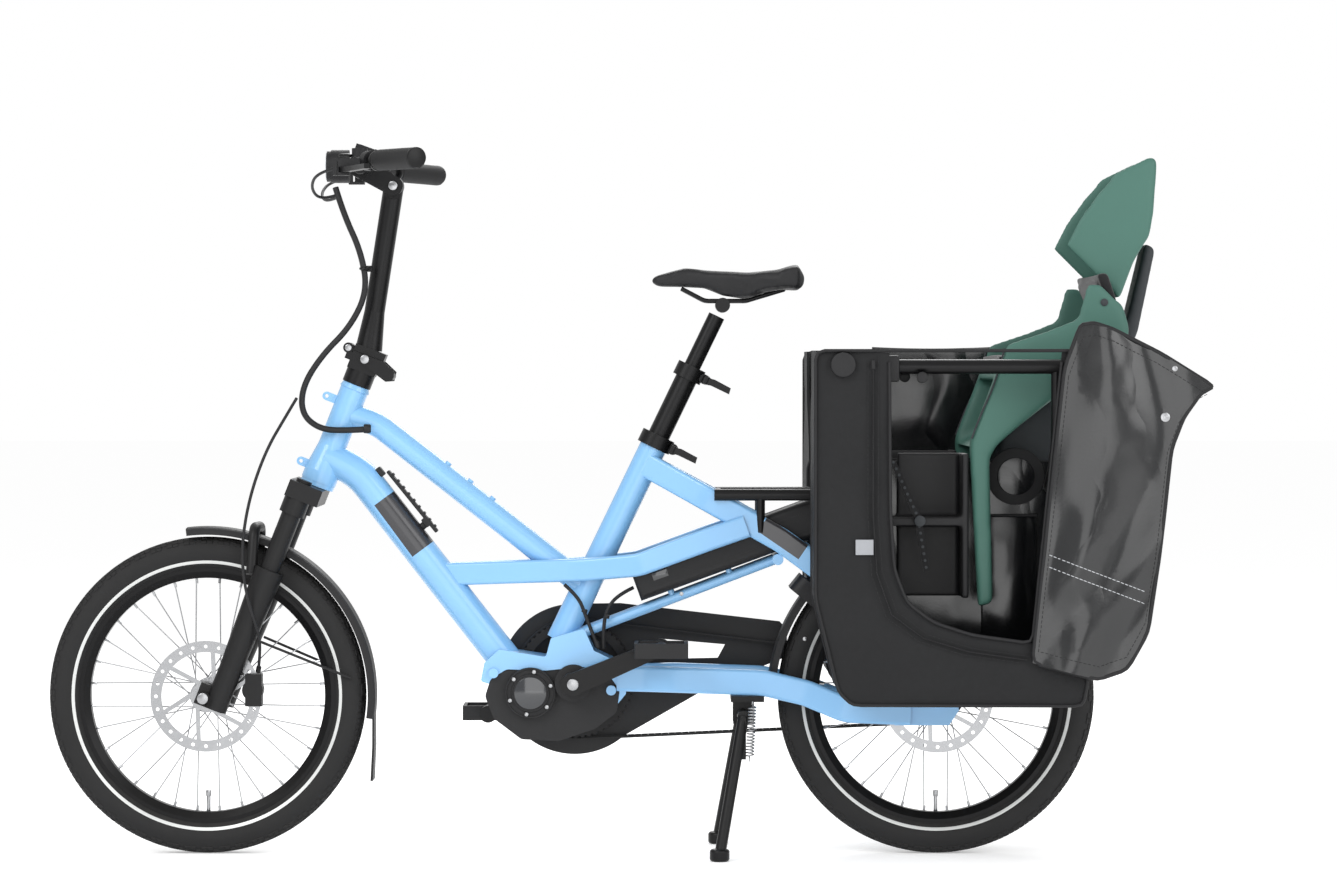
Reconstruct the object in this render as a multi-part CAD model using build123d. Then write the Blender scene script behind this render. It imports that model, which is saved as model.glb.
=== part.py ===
from build123d import *
import os
from math import acos, cos, degrees, pi, radians, sin, tan

# Longtail cargo bicycle with a child seat and side bags.
# X runs to the rear, Y to the rider's right, Z up. The origin is on the ground, mid-length.

# wheels
wheel_radius = 258.0
tyre_width = 55.0
tyre_wall = 4.0
rim_outer = 208.0
rim_inner = 191.0
rim_width = 34.0
spoke_count = 32
spoke_radius = 1.0
rotor_radius = 90.0
rotor_thickness = 2.0
front_axle_x = -672.0
wheelbase = 1187.0
rear_axle_x = front_axle_x + wheelbase
axle_z = wheel_radius
front_hub_width = 100.0
rear_hub_width = 135.0
axle_radius = 6.0
shaft_clearance = 0.05
body_gap = 0.5

# steering
head_angle = 21.5
head_bottom = (-492.0, 0.0, 606.0)
head_length = 161.0
head_top_radius = 23.0
head_bottom_radius = 29.0
steerer_radius = 14.3
leg_forward = 17.0
leg_side = 62.0
stanchion_radius = 16.0
lower_radius_top = 24.5
lower_radius_bottom = 19.0
lower_top = -159.0
stanchion_end = -250.0
fork_travel = 50.0

# handlepost and cockpit
hinge_forward = 32.5
hinge_up = 221.5
hinge_pin_radius = 4.0
knuckle_radius = 8.5
post_bottom = (-410.0, 0.0, 818.0)
post_top = (-368.5, 0.0, 1087.0)
post_radius = 16.5
bar_centre = (-420.0, 0.0, 1120.0)
bar_radius = 11.1
bar_clamp_radius = 15.9
grip_radius = 17.0

# frame tubes
top_tube_radius = 20.0
down_tube_radius = 27.0
tube_wall = 2.5
seat_angle = 25.8
seat_tube_top = (61.0, 0.0, 676.0)
seat_tube_length = 366.0
seat_tube_radius = 22.5
lower_post_radius = 18.0
upper_post_radius = 13.6
stay_side = 60.0
stay_width = 16.0
beam_height = 37.0
chain_stay_height = 42.0
dropout_side = 76.0
battery_width = 92.0
battery_height = 62.0
battery_length = 325.0
battery_tilt = 20.0
battery_corner = (35.0, 0.0, 413.0)
rail_radius = 8.0

# drive
crank_x = -75.5
crank_z = 280.0
crank_length = 155.0
crank_turn = 22.7
arm_inner = 68.0
arm_thickness = 14.0
motor_half_width = 42.0
belt_pitch = 11.0
ring_teeth = 56
cog_teeth = 28
belt_line = 52.0
belt_width = 11.0
belt_thickness = 3.0
guard_inner = 62.5
guard_thickness = 2.5
pedal_length = 86.0
pedal_width = 90.0
pedal_height = 24.0

# kickstand
stand_pivot = (200.0, 0.0, 228.0)
stand_foot_x = 161.0
stand_foot_side = 130.0
stand_top_side = 82.0
stand_tube_radius = 9.0
stand_foot_radius = 16.0

# carrier, bags and child seat
rack_z = 586.0
rack_side = 64.0
rack_front = 153.0
rack_rear = 690.0
rack_radius = 9.5
bag_inner = 96.0
bag_outer = 290.0
bag_wall = 4.0
bag_rail_z = 793.0
bag_rail_side = 232.0
bag_rail_radius = 11.5
seat_half_width = 190.0
seat_wall = 8.0


def save(name, *shapes):
    """Write the solids of one node to its STEP file."""
    solids = [solid for shape in shapes for solid in shape.solids()]
    shape = solids[0] if len(solids) == 1 else Compound(children=solids)
    export_step(shape, f"parts/{name}.step")


def mirrored(shape):
    """The shape's twin on the other side of the bicycle."""
    return shape.mirror(Plane.XZ)


def cut(shape, *tools):
    """Every solid of the shape with the tools taken away, as one compound."""
    pieces = [solid for solid in shape.solids()]
    for tool in tools:
        for cutter in tool.solids():
            left = []
            for piece in pieces:
                rest = piece.cut(cutter)
                left += rest.solids() if hasattr(rest, "solids") else list(rest)
            pieces = left
    return Compound(children=pieces)


def fuse(*shapes):
    """All shapes as one solid."""
    solids = [solid for shape in shapes for solid in shape.solids()]
    joined = solids[0].fuse(*solids[1:])
    return joined if hasattr(joined, "solids") else Compound(children=list(joined))


def rod(start, end, radius, bore=0.0):
    """A straight round bar, or a tube if it has a bore radius."""
    run = Vector(*end) - Vector(*start)
    plane = Plane(origin=start, z_dir=run)
    bar = Solid.make_cylinder(radius, run.length, plane)
    return cut(bar, Solid.make_cylinder(bore, run.length, plane)) if bore else bar


def taper(start, end, start_radius, end_radius):
    """A straight bar whose radius changes from start to end."""
    run = Vector(*end) - Vector(*start)
    return Solid.make_cone(start_radius, end_radius, run.length, Plane(origin=start, z_dir=run))


def block(low, high):
    """A box between two corners."""
    size = [b - a for a, b in zip(low, high)]
    return Solid.make_box(*size, Plane(origin=low))


def plate(points, side_from, side_to):
    """A flat plate with an outline in X and Z, between two Y values."""
    face = Face(Wire.make_polygon([(x, side_from, z) for x, z in points], close=True))
    return Solid.extrude(face, Vector(0, side_to - side_from, 0))


def bent(points, radius, bends, wall=0.0):
    """A round tube or rod along straight runs joined by arcs."""
    path = FilletPolyline(*points, radius=bends)
    start = Plane(origin=path @ 0, z_dir=path % 0)
    section = start * Circle(radius)
    if wall:
        section = section - start * Circle(radius - wall)
    return sweep(section, path=path)


def box_tube(points, width, height, corner, bends, wall=0.0):
    """A rounded rectangular tube along straight runs joined by arcs."""
    path = FilletPolyline(*points, radius=bends)
    start = Plane(origin=path @ 0, x_dir=(0, 1, 0), z_dir=path % 0)
    section = start * RectangleRounded(width, height, corner)
    if wall:
        section = section - start * RectangleRounded(width - 2 * wall, height - 2 * wall, corner - wall)
    return sweep(section, path=path)


def wheel_point(axle_x, radius, angle):
    """A point in the wheel's plane at an angle from the rearward direction."""
    return (axle_x + radius * cos(radians(angle)), 0.0, axle_z + radius * sin(radians(angle)))


# The steering frame: its X points forward, its Y to the left, its Z up the head tube.
steer_up = Vector(sin(radians(head_angle)), 0, cos(radians(head_angle)))
steer_forward = Vector(-cos(radians(head_angle)), 0, sin(radians(head_angle)))
steer_frame = Plane(origin=head_bottom, x_dir=steer_forward, z_dir=steer_up)


def steered(shape):
    """A shape built in the steering frame, moved to its place on the bicycle."""
    return shape.moved(steer_frame.location)


def steer_point(forward, left, up):
    """A point of the steering frame in the bicycle's own frame."""
    point = Vector(*head_bottom) + steer_forward * forward + Vector(0, -left, 0) + steer_up * up
    return (point.X, point.Y, point.Z)


axle_reach = Vector(front_axle_x, 0, axle_z) - Vector(*head_bottom)
fork_offset = axle_reach.dot(steer_forward)
axle_drop = -axle_reach.dot(steer_up)

os.makedirs("parts", exist_ok=True)

# ---- Wheels -------------------------------------------------------------------------------


def spun(profile, axle_x, arc=360.0, start=0.0):
    """A ring about an axle from (radius, side) corners, over an arc from a start angle."""
    face = Face(Wire.make_polygon([(axle_x + r, side, axle_z) for r, side in profile], close=True))
    axle = Axis((axle_x, 0, axle_z), (0, -1, 0))
    turned = face.rotate(axle, start) if start else face
    return Solid.revolve(turned, arc, axle)


def tyre(axle_x):
    """A hollow tyre with its beads open towards the rim."""
    half = tyre_width / 2
    ring = wheel_radius - half
    plane = Plane(origin=(axle_x, 0, axle_z), x_dir=(1, 0, 0), z_dir=(0, 1, 0))
    outer = Solid.make_torus(ring, half, plane)
    inner = Solid.make_torus(ring, half - tyre_wall, plane)
    bore = rod((axle_x, -half, axle_z), (axle_x, half, axle_z), rim_outer + 2)
    return cut(outer, inner, bore)


def rim(axle_x):
    """A double-walled rim: a shallow channel outside and a hollow box inside."""
    edge = rim_width / 2
    outline = [(rim_inner, -9), (rim_outer - 6, -edge), (rim_outer + 2, -edge), (rim_outer + 2, -edge + 2.5),
               (rim_outer - 5, -edge + 3), (rim_outer - 8, 0), (rim_outer - 5, edge - 3),
               (rim_outer + 2, edge - 2.5), (rim_outer + 2, edge), (rim_outer - 6, edge), (rim_inner, 9)]
    return spun(outline, axle_x)


def hub(axle_x, width, flange_side):
    """A hub shell with two spoke flanges and a bore for the through axle."""
    half = width / 2
    shell = [(axle_radius + shaft_clearance, -half), (13, -half), (13, -flange_side - 3), (27, -flange_side - 2),
             (27, -flange_side + 1), (15, -flange_side + 4), (15, flange_side - 4), (27, flange_side - 1),
             (27, flange_side + 2), (13, flange_side + 3), (13, half), (axle_radius + shaft_clearance, half)]
    return spun(shell, axle_x)


def spokes(axle_x, flange_side):
    """Crossed spokes from the hub flanges to the rim."""
    laced = []
    for number in range(spoke_count):
        angle = 360 * (number + 0.5) / spoke_count
        side = flange_side if number % 2 else -flange_side
        lead = 38 if number % 4 < 2 else -38
        inner = wheel_point(axle_x, 27 - spoke_radius, angle + lead)
        outer = wheel_point(axle_x, rim_inner - 0.3, angle)
        laced.append(rod((inner[0], side, inner[2]), (outer[0], side * 0.12, outer[2]), spoke_radius))
    return laced


def rotor(axle_x, side):
    """A brake disc: a slotted ring on six arms around the hub."""
    arm = rotor_radius - 18
    ring = spun([(arm, side), (rotor_radius, side), (rotor_radius, side + rotor_thickness),
                 (arm, side + rotor_thickness)], axle_x)
    boss = spun([(13, side), (24, side), (24, side + rotor_thickness), (13, side + rotor_thickness)], axle_x)
    arms = []
    for number in range(6):
        inner = wheel_point(axle_x, 20, 60 * number)
        outer = wheel_point(axle_x, arm + 4, 60 * number + 24)
        run = Vector(*outer) - Vector(*inner)
        plane = Plane(origin=(inner[0], side, inner[2]), x_dir=run, z_dir=(0, 1, 0))
        arms.append(Solid.make_box(run.length, 7, rotor_thickness, plane))
    slots = [rod((x, side - 1, z), (x, side + rotor_thickness + 1, z), 3.0)
             for x, _, z in [wheel_point(axle_x, rotor_radius - 9, 15 * n) for n in range(24)]]
    return cut(fuse(ring, boss, *arms), *slots)


def wheel(name, axle_x, hub_width, flange_side, rotor_side):
    """All the turning pieces of one wheel."""
    save(f"{name}_tyre", tyre(axle_x))
    save(f"{name}_rim", rim(axle_x))
    shell = hub(axle_x, hub_width, flange_side)
    save(f"{name}_hub", shell, rotor(axle_x, rotor_side), *[cut(spoke, shell) for spoke in spokes(axle_x, flange_side)])


front_flange = 27.0
rear_flange = 30.0
front_rotor_side = -40.0
rear_rotor_side = -56.0
wheel("front", front_axle_x, front_hub_width, front_flange, front_rotor_side)
wheel("rear", rear_axle_x, rear_hub_width, rear_flange, rear_rotor_side)

# ---- Fork and front fender ------------------------------------------------------------------

dropout_gap = front_hub_width / 2 + 0.3


def fork_steerer():
    """Steerer tube, crown and the two stanchions as one steel and alloy piece."""
    steerer = rod((0, 0, -36), (0, 0, 205), steerer_radius)
    crown = block((-18, -84, -36), (38, 84, -8.5))
    sides = [rod((leg_forward, side * leg_side, -62), (leg_forward, side * leg_side, -12), 21) for side in (-1, 1)]
    legs = [rod((leg_forward, side * leg_side, stanchion_end), (leg_forward, side * leg_side, -20), stanchion_radius)
            for side in (-1, 1)]
    knobs = [rod((leg_forward, side * leg_side, -13), (leg_forward, side * leg_side, -3), 13) for side in (-1, 1)]
    bores = [rod((leg_forward, side * leg_side, stanchion_end - 1), (leg_forward, side * leg_side, -40),
                 stanchion_radius - 2.5)
             for side in (-1, 1)]
    bores.append(rod((0, 0, -37), (0, 0, 206), steerer_radius - 3))
    return steered(cut(fuse(steerer, crown, *sides, *legs, *knobs), *bores))


def fork_lowers():
    """The two lower legs, their arch and the dropouts that hold the axle."""
    bore_end = stanchion_end - fork_travel - 4
    legs = []
    for side in (-1, 1):
        y = side * leg_side
        upper = taper((leg_forward, y, -330), (leg_forward, y, lower_top), lower_radius_bottom, lower_radius_top)
        lower = rod((leg_forward, y, -axle_drop - 12), (leg_forward, y, -330), lower_radius_bottom)
        near = dropout_gap if side > 0 else -dropout_gap - 15
        drop = block((leg_forward - 12, near, -axle_drop - 14), (fork_offset + 13, near + 15, -axle_drop + 22))
        bore = rod((leg_forward, y, bore_end), (leg_forward, y, lower_top + 1), stanchion_radius + shaft_clearance)
        wall = rod((fork_offset, -90, -axle_drop), (fork_offset, 90, -axle_drop), axle_radius + shaft_clearance)
        hub_room = rod((fork_offset, -dropout_gap, -axle_drop), (fork_offset, dropout_gap, -axle_drop), 30)
        legs.append(cut(fuse(upper, lower, drop), bore, wall, hub_room))
    arch_path = [(42, -leg_side, -176), (64, -42, -106), (66, 42, -106), (42, leg_side, -176)]
    arch = cut(bent(arch_path, 9, [22, 22]), *[
        rod((leg_forward, side * leg_side, bore_end), (leg_forward, side * leg_side, 0), stanchion_radius + 0.6)
        for side in (-1, 1)])
    return steered(fuse(legs[0], legs[1], arch))


def front_axle():
    """The through axle with its lever side head."""
    shaft = rod((fork_offset, -70, -axle_drop), (fork_offset, 70, -axle_drop), axle_radius)
    return steered(fuse(shaft, rod((fork_offset, 66, -axle_drop), (fork_offset, 74, -axle_drop), 10)))


def fender_sheet(axle_x, start, end, outer=274.0, half=31.0):
    """A curved fender with turned-down edges, over an arc of angles."""
    profile = [(outer - 12, -half), (outer - 2, -half), (outer, -half + 4), (outer + 1.5, 0), (outer, half - 4),
               (outer - 2, half), (outer - 12, half), (outer - 12, half - 1.8), (outer - 3.5, half - 1.8),
               (outer - 2.2, half - 5.5), (outer - 0.8, 0), (outer - 2.2, -half + 5.5), (outer - 3.5, -half + 1.8),
               (outer - 12, -half + 1.8)]
    return spun(profile, axle_x, end - start, start)




def front_fender_pieces():
    """Fender sheet, rubber flap, stays and the bracket up to the arch."""
    sheet = fender_sheet(front_axle_x, -8.0, 97.0)
    flap = plate([(-403, 232), (-399.8, 232), (-399.5, 175), (-402, 119), (-406, 119), (-403.2, 175)], -26, 26)
    stays = [rod((-586, side * 50, 349), (-437, side * 31.5, 287), 2.2) for side in (-1, 1)]
    return [sheet, cut(flap, sheet), *[cut(stay, sheet) for stay in stays]]


def caliper(axle_x, rotor_side, angle, outward, inward, radius=78.0):
    """A two-piece disc brake caliper with a slot around the rotor."""
    x, _, z = wheel_point(axle_x, radius, angle)
    low, high = rotor_side - outward, rotor_side + rotor_thickness + inward
    body = fuse(rod((x, low, z), (x, high, z), 17), block((x - 12, low, z - 26), (x + 15, high, z + 26)))
    slot = rod((axle_x, rotor_side - 1.2, axle_z), (axle_x, rotor_side + rotor_thickness + 1.2, axle_z),
               rotor_radius + 3)
    return cut(body, slot)


lowers = fork_lowers()
save("steerer", fork_steerer())
save("fork_lowers", lowers, front_axle())
save("front_fender", *front_fender_pieces())
save("front_caliper", cut(caliper(front_axle_x, front_rotor_side, 8.0, 16, 9), lowers))

# ---- Frame ----------------------------------------------------------------------------------

seat_up = Vector(sin(radians(seat_angle)), 0, cos(radians(seat_angle)))


def seat_point(along, behind=0.0, side=0.0):
    """A point on the seat tube's axis, measured up from its top edge, and behind it."""
    point = Vector(*seat_tube_top) + seat_up * along + Vector(seat_up.Z, 0, -seat_up.X) * behind
    return (point.X, side, point.Z)


def outline_solid(points, half, round_edges=0.0):
    """A plate either side of the middle plane, its long edges rounded."""
    solid = plate(points, -half, half)
    return fillet(solid.edges().filter_by(Axis.Y), round_edges) if round_edges else solid


head_solid = steered(fuse(
    Solid.make_cylinder(head_bottom_radius, 18),
    Solid.make_cone(head_bottom_radius, head_top_radius, 44, Plane(origin=(0, 0, 18))),
    Solid.make_cylinder(head_top_radius, head_length - 62, Plane(origin=(0, 0, 62)))))
head_bore = 20.5
eyelet_radius = 3.0
eyelet_spots = [(38.5, 21.0), (38.0, 135.0)]
eyelets = []
for forward, up in eyelet_spots:
    lug = fuse(block((10, -4, up - 7), (forward, 4, up + 7)), rod((forward, -4, up), (forward, 4, up), 7))
    eyelets.append(steered(cut(lug, rod((forward, -5, up), (forward, 5, up), eyelet_radius))))
head_tube = cut(fuse(head_solid, *eyelets), steered(Solid.make_cylinder(head_bore, head_length + 2)),
                steered(Solid.make_cylinder(head_bore, 4, Plane(origin=(0, 0, -1)))))
bearing_bore = steerer_radius + shaft_clearance
lower_bearing = cut(fuse(Solid.make_cylinder(28, 7.5, Plane(origin=(0, 0, -7.5))), Solid.make_cylinder(head_bore, 9)),
                    Solid.make_cylinder(bearing_bore, 40, Plane(origin=(0, 0, -20))))
upper_bearing = cut(fuse(Solid.make_cylinder(head_bore, 9, Plane(origin=(0, 0, head_length - 9))),
                         Solid.make_cone(25, 22, 8, Plane(origin=(0, 0, head_length)))),
                    Solid.make_cylinder(bearing_bore, 40, Plane(origin=(0, 0, head_length - 20))))
save("head_tube", head_tube, steered(lower_bearing), steered(upper_bearing))

seat_solid = rod(seat_point(0), seat_point(-seat_tube_length), seat_tube_radius)
seat_bore = rod(seat_point(1), seat_point(-seat_tube_length - 1), lower_post_radius + shaft_clearance)

top_path = [(-445, 0, 716), (-395, 0, 699), (-62, 0, 438)]
down_path = [(-480, 0, 648), (-425, 0, 620), (-184, 0, 310)]
beam_path = [(-285, -10, 455), (-60, -30, 463), (30, -60, 472), (150, -62, 516), (205, -62, 535)]
upper_path = [(36, -12, 637), (140, -52, 580), (262, -stay_side, 512), (330, -62, 462), (490, -dropout_side, 292)]
lower_path = [(-5, -34, 287), (42, -34, 286), (88, -52, 286), (232, -52, 281), (302, -60, 265),
              (366, -dropout_side, 239), (470, -dropout_side, 235)]

bracket_outline = [(-226, 282), (-220, 312), (-196, 334), (-120, 322), (-112, 352), (-58, 368), (-42, 332), (-8, 316),
                   (8, 300), (10, 262), (-10, 238), (-34, 232)]
motor_outline = [(-219, 258), (-210, 286), (-184, 302), (-120, 300), (-60, 306), (-20, 296), (0, 268), (-5, 232),
                 (-40, 205), (-100, 185), (-160, 188), (-205, 222)]
motor_block = outline_solid(motor_outline, motor_half_width - 4, 14)
motor_room = outline_solid(motor_outline, motor_half_width + 6, 14)
spindle_boss_radius = 30.0
spindle_boss_room = rod((crank_x, -60, crank_z), (crank_x, 60, crank_z), spindle_boss_radius)
bracket = cut(outline_solid(bracket_outline, motor_half_width - 2, 5), motor_room, seat_solid, spindle_boss_room)

down_solid = bent(down_path, down_tube_radius, [110])
down_tube = cut(bent(down_path, down_tube_radius, [110], tube_wall), head_solid, bracket, motor_room)
top_tube = cut(bent(top_path, top_tube_radius, [90], tube_wall), head_solid, seat_solid, down_solid)
top_run = Vector(*top_path[2]) - Vector(*top_path[1])
boss_up = Vector(-top_run.Z, 0, top_run.X).normalized()
bosses = []
for along in (130, 176, 222):
    foot = Vector(*top_path[1]) + top_run.normalized() * along + boss_up * (top_tube_radius - 1)
    bosses.append(rod(foot, foot + boss_up * 4, 5))
save("top_tube", fuse(max(top_tube.solids(), key=lambda s: s.volume), *bosses))
save("down_tube", max(down_tube.solids(), key=lambda s: s.volume))
top_solid = bent(top_path, top_tube_radius, [90])

beam_bends = [200, 60, 120]
beam_left = box_tube(beam_path, stay_width, beam_height, 6, beam_bends, tube_wall)
beam_outer = box_tube(beam_path, stay_width, beam_height, 6, beam_bends)
beam_left = cut(beam_left, down_solid, seat_solid, top_solid)
beam_left = max(beam_left.solids(), key=lambda s: s.volume)
upper_bends = [90, 120, 60]
upper_left = box_tube(upper_path, stay_width, 40, 6, upper_bends, tube_wall)
upper_left = cut(upper_left, seat_solid, beam_outer)
upper_left = max(upper_left.solids(), key=lambda s: s.volume)
lower_bends = [40, 50, 120, 90, 60]
stay_left = box_tube(lower_path, stay_width, chain_stay_height, 6, lower_bends, tube_wall)
dropout_outline = [(444, 214), (532, 214), (548, 238), (540, 282), (500, 316), (466, 306), (452, 262)]
dropout_near = rear_hub_width / 2 + body_gap
dropout = plate(dropout_outline, -dropout_near - 9, -dropout_near)
axle_hole = rod((rear_axle_x, -120, axle_z), (rear_axle_x, 120, axle_z), axle_radius)
dropout_left = cut(dropout, axle_hole)
stay_left = cut(stay_left, dropout, bracket, motor_block)
stay_left = max(stay_left.solids(), key=lambda s: s.volume)
upper_left = cut(upper_left, dropout)
upper_left = max(upper_left.solids(), key=lambda s: s.volume)
save("side_beams", beam_left, mirrored(beam_left))
save("upper_stays", upper_left, mirrored(upper_left))
rear_axle = fuse(rod((rear_axle_x, -84, axle_z), (rear_axle_x, 84, axle_z), axle_radius),
                 rod((rear_axle_x, -86, axle_z), (rear_axle_x, -dropout_near - 9, axle_z), 10))
save("chain_stays", stay_left, mirrored(stay_left), dropout_left, mirrored(dropout_left), rear_axle)

collar = cut(fuse(rod(seat_point(-16), seat_point(6), 28), rod(seat_point(-5, 30, -16), seat_point(-5, 30, 16), 9)),
             rod(seat_point(-30), seat_point(30), lower_post_radius + 0.6),
             rod(seat_point(-20), seat_point(0), seat_tube_radius))
seat_tube = cut(seat_solid, seat_bore)
save("seat_tube", seat_tube)
save("seat_collar", collar)

# ---- Battery, motor and belt drive -------------------------------------------------------------

battery_along = Vector(cos(radians(battery_tilt)), 0, sin(radians(battery_tilt)))
battery_up = Vector(-sin(radians(battery_tilt)), 0, cos(radians(battery_tilt)))
battery_plane = Plane(origin=battery_corner, x_dir=battery_along, z_dir=battery_up)
battery_case = Solid.make_box(battery_length, battery_width, battery_height,
                              battery_plane.offset(0).move(Location((0, -battery_width / 2, 0))))
battery_case = fillet(battery_case.edges().filter_by(Axis.Y, reverse=True).filter_by(GeomType.LINE), 10)
rail_start = (-88, 0, 350)
rail_end = (256, 0, 481)
rails = [rod((rail_start[0], side, rail_start[2]), (rail_end[0], side, rail_end[2]), rail_radius) for side in (-24, 24)]
cross = rod((rail_end[0], -stay_side, rail_end[2]), (rail_end[0], stay_side, rail_end[2]), rail_radius + 1)
rail_posts = []
for along in (50, 150, 250):
    top = Vector(*battery_corner) + battery_along * along
    for side in (-24, 24):
        foot = (top.X + 4, side, top.Z - 11)
        rail_posts.append(rod(foot, (top.X, side, top.Z), 5))
rails_solid = cut(fuse(*rails, cross, *rail_posts), seat_solid, bracket, motor_room, upper_left, mirrored(upper_left),
                  battery_case)
save("battery_rails", max(rails_solid.solids(), key=lambda s: s.volume))
save("battery_pack", battery_case)

spindle_radius = 10.0
boss_left = rod((crank_x, -motor_half_width - 8, crank_z), (crank_x, 0, crank_z), spindle_boss_radius)
boss_right = rod((crank_x, 0, crank_z), (crank_x, belt_line - belt_width / 2 - 2, crank_z), 26)
motor_case = cut(fuse(motor_block, boss_left, boss_right), rod((crank_x, -80, crank_z), (crank_x, 80, crank_z),
                                                              spindle_radius + shaft_clearance))
cap_x, cap_z = -145, 264
motor_cap = fuse(rod((cap_x, -motor_half_width - 6, cap_z), (cap_x, -motor_half_width + 4, cap_z), 41),
                 rod((cap_x, -motor_half_width - 9, cap_z), (cap_x, -motor_half_width - 6, cap_z), 28))
motor_cap = cut(motor_cap, motor_case, bracket)
bracket_bolts = [rod((x, side * 34, z), (x, side * 46, z), 8) for side in (-1, 1) for x, z in ((-205, 296), (-14, 268))]
save("drive_motor", motor_case, motor_cap)
bracket_bolts = [max(cut(bolt, bracket, motor_case).solids(), key=lambda s: abs(s.center().Y)) for bolt in bracket_bolts]
save("motor_bracket", bracket, *bracket_bolts)

belt_side = (belt_line - belt_width / 2, belt_line + belt_width / 2)
tooth_depth = 3.0
ring_tip = belt_pitch * ring_teeth / (2 * pi) - 0.9
cog_tip = belt_pitch * cog_teeth / (2 * pi) - 0.9
belt_gap = 0.4


def sprocket(x, z, teeth, tip):
    """A toothed belt wheel blank, as wide as the belt."""
    corners = []
    for number in range(teeth):
        for share, radius in ((0.05, tip), (0.45, tip), (0.6, tip - tooth_depth), (0.9, tip - tooth_depth)):
            angle = 2 * pi * (number + share) / teeth
            corners.append((x + radius * cos(angle), z + radius * sin(angle)))
    return plate(corners, *belt_side)


def belt_loop(ring_radius, cog_radius, side_from, side_to):
    """The solid inside a belt that runs round both wheels."""
    run = Vector(rear_axle_x - crank_x, 0, axle_z - crank_z)
    tilt = degrees(acos((ring_radius - cog_radius) / run.length))
    heading = degrees(acos(run.X / run.length)) * (1 if run.Z > 0 else -1)
    spots = []
    for angle, x, z, radius in ((heading + tilt, crank_x, crank_z, ring_radius),
                                (heading + tilt, rear_axle_x, axle_z, cog_radius),
                                (heading - tilt, rear_axle_x, axle_z, cog_radius),
                                (heading - tilt, crank_x, crank_z, ring_radius)):
        spots.append((x + radius * cos(radians(angle)), side_from, z + radius * sin(radians(angle))))
    cog_far = (rear_axle_x + cog_radius * cos(radians(heading)), side_from,
               axle_z + cog_radius * sin(radians(heading)))
    ring_far = (crank_x - ring_radius * cos(radians(heading)), side_from,
                crank_z - ring_radius * sin(radians(heading)))
    edges = [Edge.make_line(spots[0], spots[1]), Edge.make_three_point_arc(spots[1], cog_far, spots[2]),
             Edge.make_line(spots[2], spots[3]), Edge.make_three_point_arc(spots[3], ring_far, spots[0])]
    return Solid.extrude(Face(Wire(edges)), Vector(0, side_to - side_from, 0))


belt = cut(belt_loop(ring_tip + belt_gap + belt_thickness, cog_tip + belt_gap + belt_thickness, *belt_side),
           belt_loop(ring_tip + belt_gap, cog_tip + belt_gap, *belt_side))
save("drive_belt", belt)

ring_window = rod((crank_x, 0, crank_z), (crank_x, 100, crank_z), ring_tip - 16)
ring = cut(sprocket(crank_x, crank_z, ring_teeth, ring_tip), ring_window)
spider = [rod((crank_x, belt_side[0], crank_z), (crank_x, belt_side[1], crank_z), 32)]
for number in range(5):
    angle = radians(72 * number + crank_turn)
    tip = (crank_x + (ring_tip - 12) * cos(angle), belt_line, crank_z + (ring_tip - 12) * sin(angle))
    run = Vector(*tip) - Vector(crank_x, belt_line, crank_z)
    plane = Plane(origin=(crank_x, belt_line, crank_z), x_dir=run, z_dir=(0, 1, 0)).move(Location((0, -8, -4)))
    spider.append(Solid.make_box(run.length, 16, 8, plane))
belt_ring = cut(fuse(ring, *spider), rod((crank_x, 0, crank_z), (crank_x, 100, crank_z), spindle_radius))
save("belt_ring", belt_ring)

hub_shell_radius = 13.0
cog = cut(sprocket(rear_axle_x, axle_z, cog_teeth, cog_tip),
          rod((rear_axle_x, 0, axle_z), (rear_axle_x, 100, axle_z), hub_shell_radius + shaft_clearance))
save("belt_cog", cog)


def crank_end(side):
    """Where a crank arm holds its pedal; the left arm points up and back, the right one down and forward."""
    angle = radians(crank_turn if side < 0 else crank_turn + 180)
    return crank_x + crank_length * cos(angle), crank_z + crank_length * sin(angle)


def crank_arm(side):
    """A tapering arm with round ends."""
    end_x, end_z = crank_end(side)
    low, high = sorted((side * arm_inner, side * (arm_inner + arm_thickness)))
    hub_end = rod((crank_x, low, crank_z), (crank_x, high, crank_z), 19)
    pedal_end = rod((end_x, low, end_z), (end_x, high, end_z), 14)
    run = Vector(end_x - crank_x, 0, end_z - crank_z)
    across = Vector(-run.Z, 0, run.X).normalized()
    corners = [(crank_x + across.X * 18, crank_z + across.Z * 18), (end_x + across.X * 13, end_z + across.Z * 13),
               (end_x - across.X * 13, end_z - across.Z * 13), (crank_x - across.X * 18, crank_z - across.Z * 18)]
    return fuse(hub_end, pedal_end, plate(corners, low, high))


spindle = rod((crank_x, -arm_inner - 6, crank_z), (crank_x, arm_inner + 6, crank_z), spindle_radius)
pedal_axle_radius = 5.0
pedal_axles = []
for side in (-1, 1):
    end_x, end_z = crank_end(side)
    start = side * (arm_inner + 3)
    pedal_axles.append(rod((end_x, start, end_z), (end_x, side * (arm_inner + arm_thickness + 70), end_z),
                           pedal_axle_radius))
save("crank_arms", fuse(crank_arm(-1), crank_arm(1), spindle, *pedal_axles))


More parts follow.
